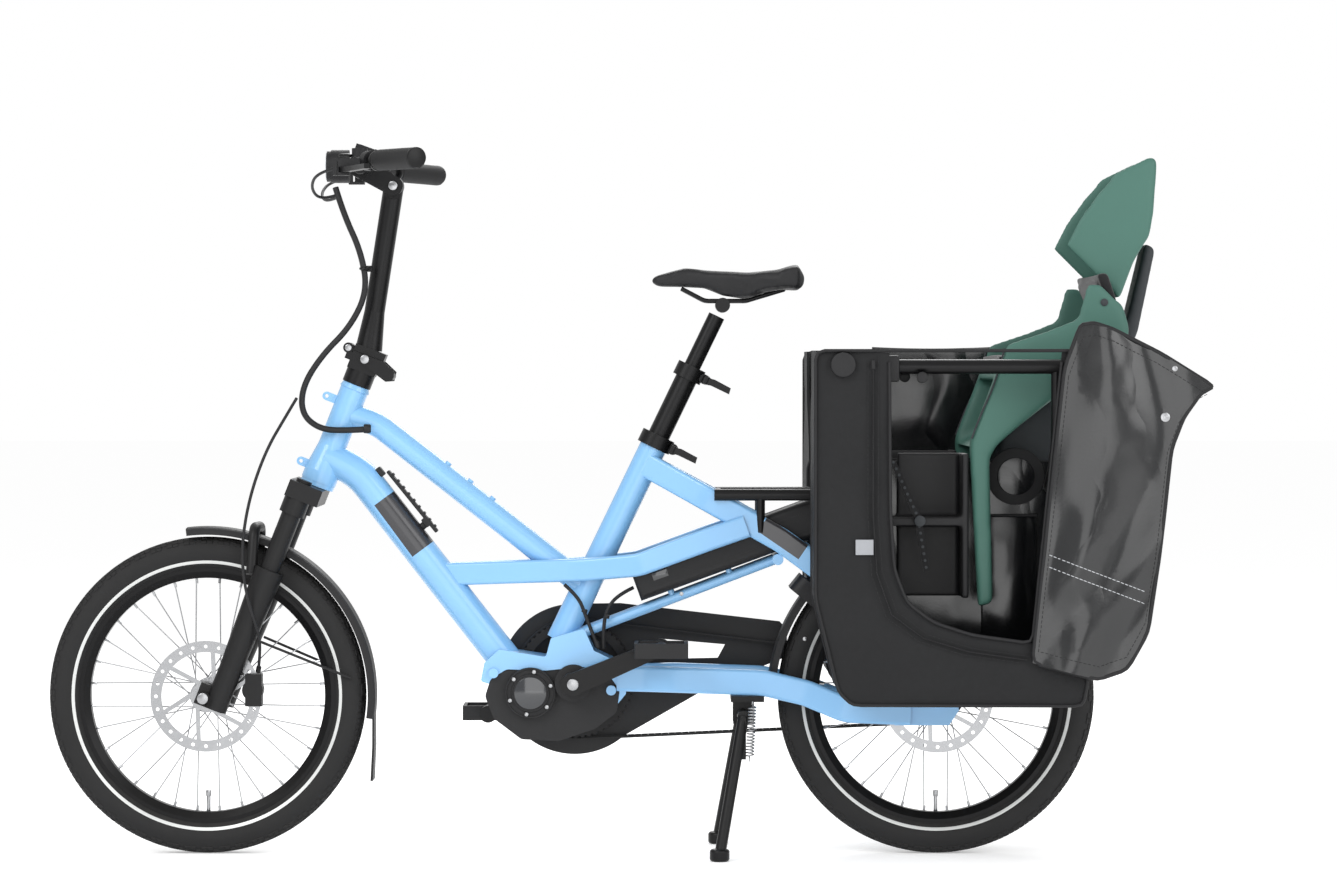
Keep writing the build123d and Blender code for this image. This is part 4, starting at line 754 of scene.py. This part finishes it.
def make_door(sizes):
    mesh = cad_copy("bag_door")
    divide(mesh, (0.648, -0.3, 0.304), (0.93, -0.29, 0.861), 0.011)
    for face in mesh.faces:
        face.material_index = 1 if face.normal.y < -0.5 else 0
    for vert in mesh.verts:
        x, _, z = vert.co
        vert.co.y -= door_swell(x, z)
    rim = [(x, -door_face - door_swell(x, z), z) for x, z in soften_edge(door_edge, 0.2)]
    join(mesh, tube_mesh(rim, sizes.piping_radius * 1.25, closed=True), 2)
    middle = Vector((0.775, 0.59))
    hem = [Vector(point).lerp(middle, 0.07) for point in door_edge]
    bar_row(mesh, [(x, 0, z) for x, z in hem], sizes.stitch_length * 1.5, (sizes.stitch_length, 0.0010, 0.0009), 2,
            True, lambda x, z: -0.2994 - door_swell(x, z))
    for low in (0.0, -0.019):
        bar_row(mesh, [(0.676, 0, 0.498 + low), (0.822, 0, 0.442 + low)], sizes.stitch_length * 1.4,
                (sizes.stitch_length, 0.0012, 0.0012), 3, False, lambda x, z: -0.2996 - door_swell(x, z))
    for x, z, y, radius, height, edge in ((0.8545, 0.714, -0.299, 0.0075, 0.003, 0.001),
                                          (0.8545, 0.714, -0.302, 0.0035, 0.0015, 0.0005),
                                          (0.8686, 0.790, -0.299, 0.0045, 0.002, 0.0006)):
        disc(mesh, (x, y - door_swell(x, z), z), (0, -1, 0), radius, height, edge, 4)
    thing = make_piece("bag_door_panel", "door", mesh, "bag_fabric", "bag_cloth", "bag_lining", "bag_piping",
                       "pale_thread", "bare_steel")
    shade(thing, 40)
    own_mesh(thing)
    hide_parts("bag_door")


# ---- Child seat and saddle -------------------------------------------------------------------------


def make_seat():
    rounded("seat_shell", "child_seat", "frame", "seat_green", "seat_shell", 0.004, 14)
    rounded("seat_back_support", "seat_strut", "frame", "seat_grey", "seat_back", 0.004, 10)
    rounded("seat_leg_guards", "leg_guards", "frame", "black_plastic", "dark_plastic", 0.003, 3)
    pad = rounded("seat_cushion", "seat_pad", "frame", "pad_black", "pad_cloth", 0.004, 3)
    swell(pad, 4.0, 0.0022)
    mesh = cad_copy("seat_straps")
    for side in (-1, 1):
        line = [(0.436, side * 0.1882, 0.641), (0.475, side * 0.1882, 0.554), (0.489, side * 0.1882, 0.469)]
        for spot, _ in spread(line, 0.011):
            disc(mesh, spot - Vector((0, side * 0.0007, 0)), (0, side, 0), 0.0024, 0.0009, 0.0, 1, 10)
        disc(mesh, (0.478, side * 0.1878, 0.548), (0, side, 0), 0.009, 0.004, 0.001, 1, 24)
    thing = make_piece("seat_webbing", "frame", mesh, "pad_black", "strap_webbing", "seat_back")
    shade(thing, 40)
    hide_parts("seat_straps")
    trim = bmesh.new()
    seam = [(0.560, 0.679), (0.573, 0.715), (0.597, 0.765), (0.612, 0.822)]
    for side in (-1, 1):
        join(trim, tube_mesh([(x, side * 0.1900, z) for x, z in seam], 0.0015, smooth=True), 0)
        for x, z in ((0.700, 0.775), (0.745, 0.80), (0.770, 0.895)):
            socket_bolt(trim, (x, side * 0.1895, z), (0, side, 0), 0.006, 0.0025, 0)
        for z in (0.47, 0.52, 0.60):
            disc(trim, (0.5565, side * 0.144, z), (-1, 0, 0), 0.004, 0.0015, 0.0005, 0)
    for low in range(5):
        box_bar(trim, (0.8555 + 0.0018 * low, 0, 1.02 + 0.02 * low), (0.004, 0.10, 0.006), None, 0.001, 0)
    for number in range(4):
        box_bar(trim, (0.715 + 0.030 * number, -0.0465, 0.70 + 0.026 * number), (0.020, 0.002, 0.005),
                Matrix.Rotation(math.radians(-50), 4, "Y"), 0.0006, 0)
    shade(make_piece("seat_trim", "frame", trim, "seat_grey", "seat_back"))


def make_saddle():
    cover = rounded("saddle_cover_pad", "saddle", "upper_post", "saddle_black", "saddle_cover", 0.004, 6)
    for vert in cover.data.vertices:
        x, y, z = vert.co
        if x > 0.12 and z > 0.925:
            vert.co.z -= 0.004 * math.exp(-(y / 0.012) ** 2) * min(1.0, (x - 0.12) / 0.05)
    swell(cover, 4.0, 0.003)


# ---- Cables, fittings and controls -----------------------------------------------------------------


def make_cables():
    loom = [(-0.462, -0.019, 1.084), (-0.448, -0.027, 1.040), (-0.420, -0.032, 0.980), (-0.409, -0.034, 0.916),
            (-0.437, -0.034, 0.858), (-0.483, -0.031, 0.812), (-0.515, -0.030, 0.762), (-0.517, -0.031, 0.717),
            (-0.488, -0.033, 0.692), (-0.446, -0.034, 0.689), (-0.404, -0.033, 0.692)]
    top_join = tuple((Vector(loom[2]) + Vector(loom[3])) / 2)
    low_join = tuple((Vector(loom[5]) + Vector(loom[6])) / 2)
    top = cord_piece("loom_top", None, loom[:3] + [top_join], 0.005)
    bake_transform(top)
    middle = cord_piece("loom_middle", None, [top_join] + loom[3:6] + [low_join], 0.005)
    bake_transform(middle)
    low = cord_piece("loom_low", None, [low_join] + loom[6:], 0.005)
    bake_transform(low)
    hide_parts("cable_loom")
    for side, name in ((-1, "left_lever_cable"), (1, "right_lever_cable")):
        cord_piece(name, "bar", [(-0.452, side * 0.168, 1.108), (-0.482, side * 0.150, 1.102),
                                 (-0.496, side * 0.100, 1.080), (-0.484, side * 0.056, 1.062),
                                 (-0.461, side * 0.030 - 0.012, 1.070)], 0.0024)
    clip = bmesh.new()
    ring = [(-0.4135 + 0.0068 * math.cos(math.pi * n / 8), -0.033 + 0.0068 * math.sin(math.pi * n / 8), 0.952)
            for n in range(16)]
    join(clip, tube_mesh(ring, 0.0026, smooth=True, closed=True))
    box_bar(clip, (-0.4075, -0.026, 0.952), (0.012, 0.010, 0.010), None, 0.0015)
    disc(clip, (-0.4055, -0.031, 0.952), (0, -1, 0), 0.0042, 0.003, 0.0008)
    shade(make_piece("loom_clip", "post", clip, "black_metal", "dark_metal"))
    hose = [(-0.524, -0.038, 0.742), (-0.544, -0.056, 0.706), (-0.567, -0.075, 0.664), (-0.588, -0.088, 0.608),
            (-0.602, -0.093, 0.550), (-0.608, -0.095, 0.492), (-0.603, -0.095, 0.438), (-0.590, -0.093, 0.390),
            (-0.577, -0.080, 0.346), (-0.586, -0.052, 0.298)]
    piece = cord_piece("brake_hose", None, hose, 0.0025)
    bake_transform(piece)
    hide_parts("fork_hose")
    motor = cord_piece("motor_cable", "frame", [(-0.090, -0.031, 0.439), (-0.068, -0.036, 0.420),
                                                (-0.057, -0.039, 0.394), (-0.046, -0.040, 0.364),
                                                motor_cable_end], 0.003)
    cord_piece("battery_cable", "frame", [(0.022, -0.024, 0.434), (-0.004, -0.031, 0.422), (-0.022, -0.041, 0.398),
                                          (-0.027, -0.042, 0.366), (-0.026, -0.039, 0.336)], 0.003)
    mesh = bmesh.new()
    for place, heading, radius in ((loom[10], (-1, 0, 0.05), 0.0075), (motor_cable_end, (-0.4, 0, 1), 0.0042)):
        disc(mesh, place, heading, radius, 0.012, 0.002)
    shade(make_piece("cable_ports", "frame", mesh, "black_plastic", "dark_plastic"))
    ferrule = bmesh.new()
    disc(ferrule, hose[9], (0.2, -0.5, 0.9), 0.0042, 0.012, 0.002)
    shade(make_piece("hose_ferrule", "fork", ferrule, "fork_black", "dark_metal"))
    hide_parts("frame_cables")


def make_spring(sizes):
    low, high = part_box("stand_spring")
    start, end = Vector((0.214, (low.y + high.y) / 2, 0.246)), Vector((0.210, (low.y + high.y) / 2, 0.165))
    run = (end - start).normalized()
    side = Vector((0, 1, 0))
    other = run.cross(side)
    turns, steps = 16, 10
    points = [start - run * 0.008, start - run * 0.003]
    for number in range(turns * steps + 1):
        angle = 2 * math.pi * number / steps
        out = side * math.cos(angle) + other * math.sin(angle)
        points.append(start.lerp(end, number / (turns * steps)) + out * sizes.spring_radius)
    points += [end + run * 0.003, end + run * 0.008]
    mesh = tube_mesh(points, 0.0011, smooth=True, sides=2)
    thing = make_piece("return_spring", "stand", mesh, "steel", "bare_steel")
    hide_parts("stand_spring")


def make_grips():
    rounded("soft_grips", "grips", "bar", "rubber", "grip_rubber", 0.0022, 3)
    mesh = bmesh.new()
    for side in (-1, 1):
        start, end = Vector((-0.396, side * 0.174, 0)), Vector((-0.316, side * 0.306, -0.002))
        heading = (end - start).normalized()
        height = (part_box("grips")[0].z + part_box("grips")[1].z) / 2
        for share in (0.22, 1.0):
            place = start.lerp(end, share)
            place.z = height
            disc(mesh, place, -heading if share < 0.5 else heading, 0.0165, 0.007, 0.0015, 0, 32)
    shade(make_piece("grip_collars", "bar", mesh, "black_metal", "dark_metal"))


def make_fittings():
    """Bolts, plugs and brackets, each on the body it is fixed to."""
    steel, plastic = "steel", "plastic"
    fork, motor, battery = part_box("fork_lowers"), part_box("drive_motor"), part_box("battery_pack")
    lists = {"steering": [], "bar": [], "cranks": [], "frame": [], "fork": []}
    for side in (-1, 1):
        axis = (0, side, 0)
        lists["steering"] += [((-0.41405, side * 0.0295, 0.80498), axis, 0.0072, 0.004, steel),
                              ((-0.44106, side * 0.0240, 0.82400), axis, 0.0055, 0.003, steel)]
        lists["bar"].append(((-0.3685, side * 0.021, 1.087), axis, 0.0075, 0.004, steel))
        lists["cranks"].append(((crank_centre.x, side * 0.082, crank_centre.z), axis, 0.0095, 0.003, steel))
        lists["frame"] += [((0.352, side * 0.292, 0.796), axis, 0.0195, 0.006, plastic),
                           ((0.478, side * 0.2435, 0.776), axis, 0.009, 0.010, plastic)]
        lists["fork"].append(((front_axle[0], fork[(side + 1) // 2].y, front_axle[2]), axis, 0.009, 0.004, steel))
    for angle in range(20, 380, 60):
        out = Vector((math.cos(math.radians(angle)), 0, math.sin(math.radians(angle))))
        place = motor_centre + out * 0.035 + Vector((0, motor[0].y + 0.0002, 0))
        lists["frame"].append((place, (0, -1, 0), 0.0032, 0.0015, steel))
    for x, z in ((0.10, 0.425), (0.30, 0.352)):
        lists["frame"].append(((x, battery[0].y, z), (0, -1, 0), 0.0034, 0.0012, steel))
    for body, bolts in lists.items():
        mesh = bmesh.new()
        for place, heading, radius, height, kind in bolts:
            if kind == steel:
                socket_bolt(mesh, place, heading, radius, height)
            else:
                disc(mesh, place, heading, radius, height, 0.0018, 1, 40)
        if body == "frame":
            for side in (-1, 1):
                box_bar(mesh, (0.4215, side * 0.232, 0.790), (0.042, 0.034, 0.042), None, 0.004, 1)
        shade(make_piece(body + "_bolts", body, mesh, "steel", "bare_steel", "dark_plastic"))


def make_frame_details():
    """The accessory strip with its pads and bosses, and the clips of the two short cables."""
    mesh = bmesh.new()
    tilt = Matrix.Rotation(strip_tilt, 4, "Y")
    box_bar(mesh, (-0.3385, 0, 0.5735), (0.128, 0.022, 0.006), tilt, 0.002)
    for step in range(-4, 5):
        along = step * 0.0135
        place = (-0.3360 + along * math.cos(strip_tilt), 0, 0.5755 - along * math.sin(strip_tilt))
        box_bar(mesh, place, (0.005, 0.020, 0.004), tilt, 0.001)
    for x, z in ((-0.3915, 0.621), (-0.3150, 0.5405)):
        box_bar(mesh, (x, 0, z), (0.016, 0.024, 0.012), tilt, 0.002)
        disc(mesh, (x - 0.010, 0, z - 0.010), (0.78, 0, 0.63), 0.006, 0.012, 0.001)
    for place in ((-0.058, -0.040, 0.394), (-0.022, -0.0445, 0.385)):
        disc(mesh, place, (0.25, 0, 1), 0.0048, 0.006, 0.001)
    shade(make_piece("frame_details", "frame", mesh, "black_plastic", "dark_plastic"))


def make_motor_details():
    """The raised rim, seam and centre disc of the motor's cover and the battery's seams and one small glossy plate on
    each side.
    """
    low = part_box("drive_motor")[0].y
    mesh = bmesh.new()
    for radius in (0.0395, 0.0295):
        ring = [(motor_centre.x + radius * math.cos(math.pi * n / 20), low + 0.0004,
                 motor_centre.z + radius * math.sin(math.pi * n / 20)) for n in range(40)]
        join(mesh, tube_mesh(ring, 0.0014, smooth=True, closed=True), 0)
    disc(mesh, (motor_centre.x, low, motor_centre.z), (0, -1, 0), 0.026, 0.0012, 0.0006, 1, 48)
    box_low, box_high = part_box("battery_pack")
    turn = Matrix.Rotation(battery_tilt, 4, "Y")
    centre = (box_low + box_high) / 2
    for side in (-1, 1):
        face = side * (box_high.y - box_low.y) / 2
        for shift in (0.012, -0.014):
            box_bar(mesh, (centre.x - shift * 0.35, face, centre.z + shift), (0.26, 0.0012, 0.0016), turn, 0, 0)
        box_bar(mesh, (centre.x - 0.112, face, centre.z - 0.041), (0.026, 0.0016, 0.014), turn, 0.0005, 1)
    shade(make_piece("motor_and_battery_trim", "frame", mesh, "motor_black", "dark_plastic", "display_glass"))


def make_controls():
    mesh = bmesh.new()
    disc(mesh, (-0.4768, 0, lamp_height), (-1, 0, 0), 0.0235, 0.0016, 0.0006, 0, 48)
    for radius in (0.0085, 0.0155):
        ring = [(-0.4786, radius * math.cos(math.pi * n / 12), lamp_height + radius * math.sin(math.pi * n / 12))
                for n in range(24)]
        join(mesh, tube_mesh(ring, 0.0006, smooth=True, closed=True), 0)
    turn = Matrix.Rotation(display_tilt, 4, "Y")
    box_bar(mesh, (-0.4104, 0, 1.1499), (0.026, 0.050, 0.0010), turn, 0.0004, 1)
    for side in (-0.018, 0, 0.018):
        box_bar(mesh, (-0.3955, side, 1.1448), (0.004, 0.010, 0.0018), turn, 0.0006, 2)
    disc(mesh, (-0.4435, -0.052, 1.131), (0, 0, 1), 0.0118, 0.0065, 0.0040, 3, 40)
    for side in (-1, 1):
        for out in (0.1655, 0.1745):
            disc(mesh, (-0.420, side * out, 1.124), (0, 0, 1), 0.0032, 0.0018, 0.0006, 2)
    shade(make_piece("lamp_and_display", "bar", mesh, "black_plastic", "lamp_lens", "display_glass", "dark_plastic",
                     "dark_metal"))


def finish_nodes():
    """Gives each carried-over node its finish."""
    looks = {
        "paint_coat": "head_tube top_tube seat_tube side_beams chain_stays battery_rails motor_bracket",
        "paint_coat_lower_panel": "down_tube",
        "paint_coat_upper_panel": "upper_stays",
        "dark_metal": "seat_collar rear_rack bag_rails stand_bracket kickstand seatpost_lower seatpost_upper "
                      "clamp_lever_lower clamp_lever_middle handlepost post_hinge latch_lever handlebar "
                      "brake_lever_left brake_lever_right crank_arms belt_ring",
        "fork_coating": "steerer fork_lowers front_caliper rear_caliper",
        "dark_plastic": "battery_pack belt_guard front_fender rear_fender ring_lock bar_controls pedal_left "
                        "pedal_right",
        "motor_housing": "drive_motor",
        "dark_rim": "front_rim rear_rim",
        "bare_steel": "front_hub rear_hub belt_cog",
    }
    for look, members in looks.items():
        for name in members.split():
            data = nodes[name].data
            data.materials.clear()
            data.materials.append(find(look))


# ---- Stage -----------------------------------------------------------------------------------------


def add_light(name, place, target, size, power):
    lamp = bpy.data.lights.new(name, "AREA")
    lamp.shape, lamp.size, lamp.energy = "SQUARE", size, power
    thing = bpy.data.objects.new(name, lamp)
    bpy.context.scene.collection.objects.link(thing)
    thing.location = place
    thing.rotation_euler = (Vector(target) - Vector(place)).to_track_quat("-Z", "Y").to_euler()


def make_stage():
    world = bpy.data.worlds.new("pale_room")
    world.use_nodes = True
    room = world.node_tree
    seen = add(room, "ShaderNodeLightPath").outputs["Is Camera Ray"]
    room.nodes["Background"].inputs["Color"].default_value = (1.0, 1.0, 1.0, 1)
    room.links.new(compute(room, "ADD", compute(room, "MULTIPLY", seen, 0.28), 0.72),
                   room.nodes["Background"].inputs["Strength"])
    bpy.context.scene.world = world
    bpy.context.scene.view_settings.view_transform = "Standard"
    mesh = bmesh.new()
    bmesh.ops.create_grid(mesh, x_segments=1, y_segments=1, size=40)
    data = bpy.data.meshes.new("floor")
    mesh.to_mesh(data)
    mesh.free()
    floor = bpy.data.objects.new("floor", data)
    bpy.context.scene.collection.objects.link(floor)
    pale = bpy.data.materials.new("pale_floor")
    pale.use_nodes = True
    for key, value in (("Base Color", (0.95, 0.95, 0.95, 1)), ("Roughness", 0.9), ("Specular IOR Level", 0.0),
                       ("Emission Color", (1, 1, 1, 1)), ("Emission Strength", 0.30)):
        pale.node_tree.nodes["Principled BSDF"].inputs[key].default_value = value
    data.materials.append(pale)
    add_light("key_light", (-2.6, -3.6, 3.6), (0, 0, 0.5), 2.6, 120)
    add_light("fill_light", (3.4, -3.2, 2.2), (0.2, 0, 0.5), 2.8, 70)
    add_light("back_light", (0.4, 3.4, 3.2), (0, 0, 0.6), 2.6, 90)
    add_light("low_light", (0.2, -4.2, 0.9), (0, 0, 0.5), 2.2, 25)
    camera = bpy.data.cameras.new("camera")
    camera.lens, camera.sensor_width = 115.6, 36.0
    thing = bpy.data.objects.new("camera", camera)
    bpy.context.scene.collection.objects.link(thing)
    thing.location = (0.079, -7.0, 0.79)
    thing.rotation_euler = (math.radians(90 - 0.98), 0, 0)
    bpy.context.scene.camera = thing


# ---- Operators and panel ---------------------------------------------------------------------------


class BicycleOperator:
    bl_options = {"REGISTER", "UNDO"}

    def execute(self, context):
        self.make(context.scene)
        return {"FINISHED"}


class MakeFinishes(BicycleOperator, bpy.types.Operator):
    """Make every finish and give the frame's own parts theirs"""
    bl_idname = "bicycle.finishes"
    bl_label = "Finishes"

    def make(self, scene):
        make_finishes(scene.bicycle_colours, scene.bicycle_sizes)
        finish_nodes()


class MakeWheels(BicycleOperator, bpy.types.Operator):
    """Make the tyres with their tread and stripe, the valves and the spoke nipples"""
    bl_idname = "bicycle.wheels"
    bl_label = "Wheels"

    def make(self, scene):
        make_tyre("front_tyre_piece", "front_wheel", front_axle, scene.bicycle_sizes)
        make_tyre("rear_tyre_piece", "rear_wheel", rear_axle, scene.bicycle_sizes)
        make_valve_and_nuts()


class MakeBelt(BicycleOperator, bpy.types.Operator):
    """Make the toothed belt"""
    bl_idname = "bicycle.belt"
    bl_label = "Belt"

    def make(self, scene):
        make_belt(scene.bicycle_sizes)


class MakeBags(BicycleOperator, bpy.types.Operator):
    """Make the two side bags and the open bag's door"""
    bl_idname = "bicycle.bags"
    bl_label = "Bags"

    def make(self, scene):
        left = make_bag("left_bag", -1, scene.bicycle_sizes)
        make_bag("right_bag", 1, scene.bicycle_sizes)
        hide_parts("side_bags")
        make_door(scene.bicycle_sizes)


class MakeSeat(BicycleOperator, bpy.types.Operator):
    """Make the child seat's shell, support, guards, cushion and straps"""
    bl_idname = "bicycle.child_seat"
    bl_label = "Child seat"

    def make(self, scene):
        make_seat()


class MakeSaddle(BicycleOperator, bpy.types.Operator):
    """Make the padded saddle"""
    bl_idname = "bicycle.saddle"
    bl_label = "Saddle"

    def make(self, scene):
        make_saddle()


class MakeCables(BicycleOperator, bpy.types.Operator):
    """Make the cables, the brake hose and the kickstand's spring"""
    bl_idname = "bicycle.cables"
    bl_label = "Cables and spring"

    def make(self, scene):
        make_cables()
        make_spring(scene.bicycle_sizes)


class MakeControls(BicycleOperator, bpy.types.Operator):
    """Make the grips, lamp, display and bell details"""
    bl_idname = "bicycle.controls"
    bl_label = "Controls"

    def make(self, scene):
        make_grips()
        make_controls()


class MakeFittings(BicycleOperator, bpy.types.Operator):
    """Make the bolts, plugs and brackets"""
    bl_idname = "bicycle.fittings"
    bl_label = "Fittings"

    def make(self, scene):
        make_fittings()
        make_frame_details()
        make_motor_details()


class MakeStage(BicycleOperator, bpy.types.Operator):
    """Make the floor, lights and camera"""
    bl_idname = "bicycle.stage"
    bl_label = "Stage"

    def make(self, scene):
        make_stage()


steps = (MakeStage, MakeFinishes, MakeCables, MakeWheels, MakeBelt, MakeBags, MakeSeat, MakeSaddle, MakeControls,
         MakeFittings)


class BicyclePanel(bpy.types.Panel):
    bl_idname = "VIEW3D_PT_cargo_bicycle"
    bl_label = "Cargo bicycle"
    bl_space_type = "VIEW_3D"
    bl_region_type = "UI"
    bl_category = "Cargo bicycle"

    def draw(self, context):
        for step in steps:
            self.layout.operator(step.bl_idname)
        for group in (context.scene.bicycle_colours, context.scene.bicycle_sizes):
            for key in group.bl_rna.properties.keys():
                if key not in ("rna_type", "name"):
                    self.layout.prop(group, key)


def register():
    for kind in (BicycleColours, BicycleSizes, *steps, BicyclePanel):
        bpy.utils.register_class(kind)
    bpy.types.Scene.bicycle_colours = PointerProperty(type=BicycleColours)
    bpy.types.Scene.bicycle_sizes = PointerProperty(type=BicycleSizes)


def unregister():
    del bpy.types.Scene.bicycle_sizes
    del bpy.types.Scene.bicycle_colours
    for kind in (BicyclePanel, *reversed(steps), BicycleSizes, BicycleColours):
        bpy.utils.unregister_class(kind)


def main():
    register()
    for step in steps:
        group, name = step.bl_idname.split(".")
        getattr(getattr(bpy.ops, group), name)()


if __name__ == "__main__":
    main()
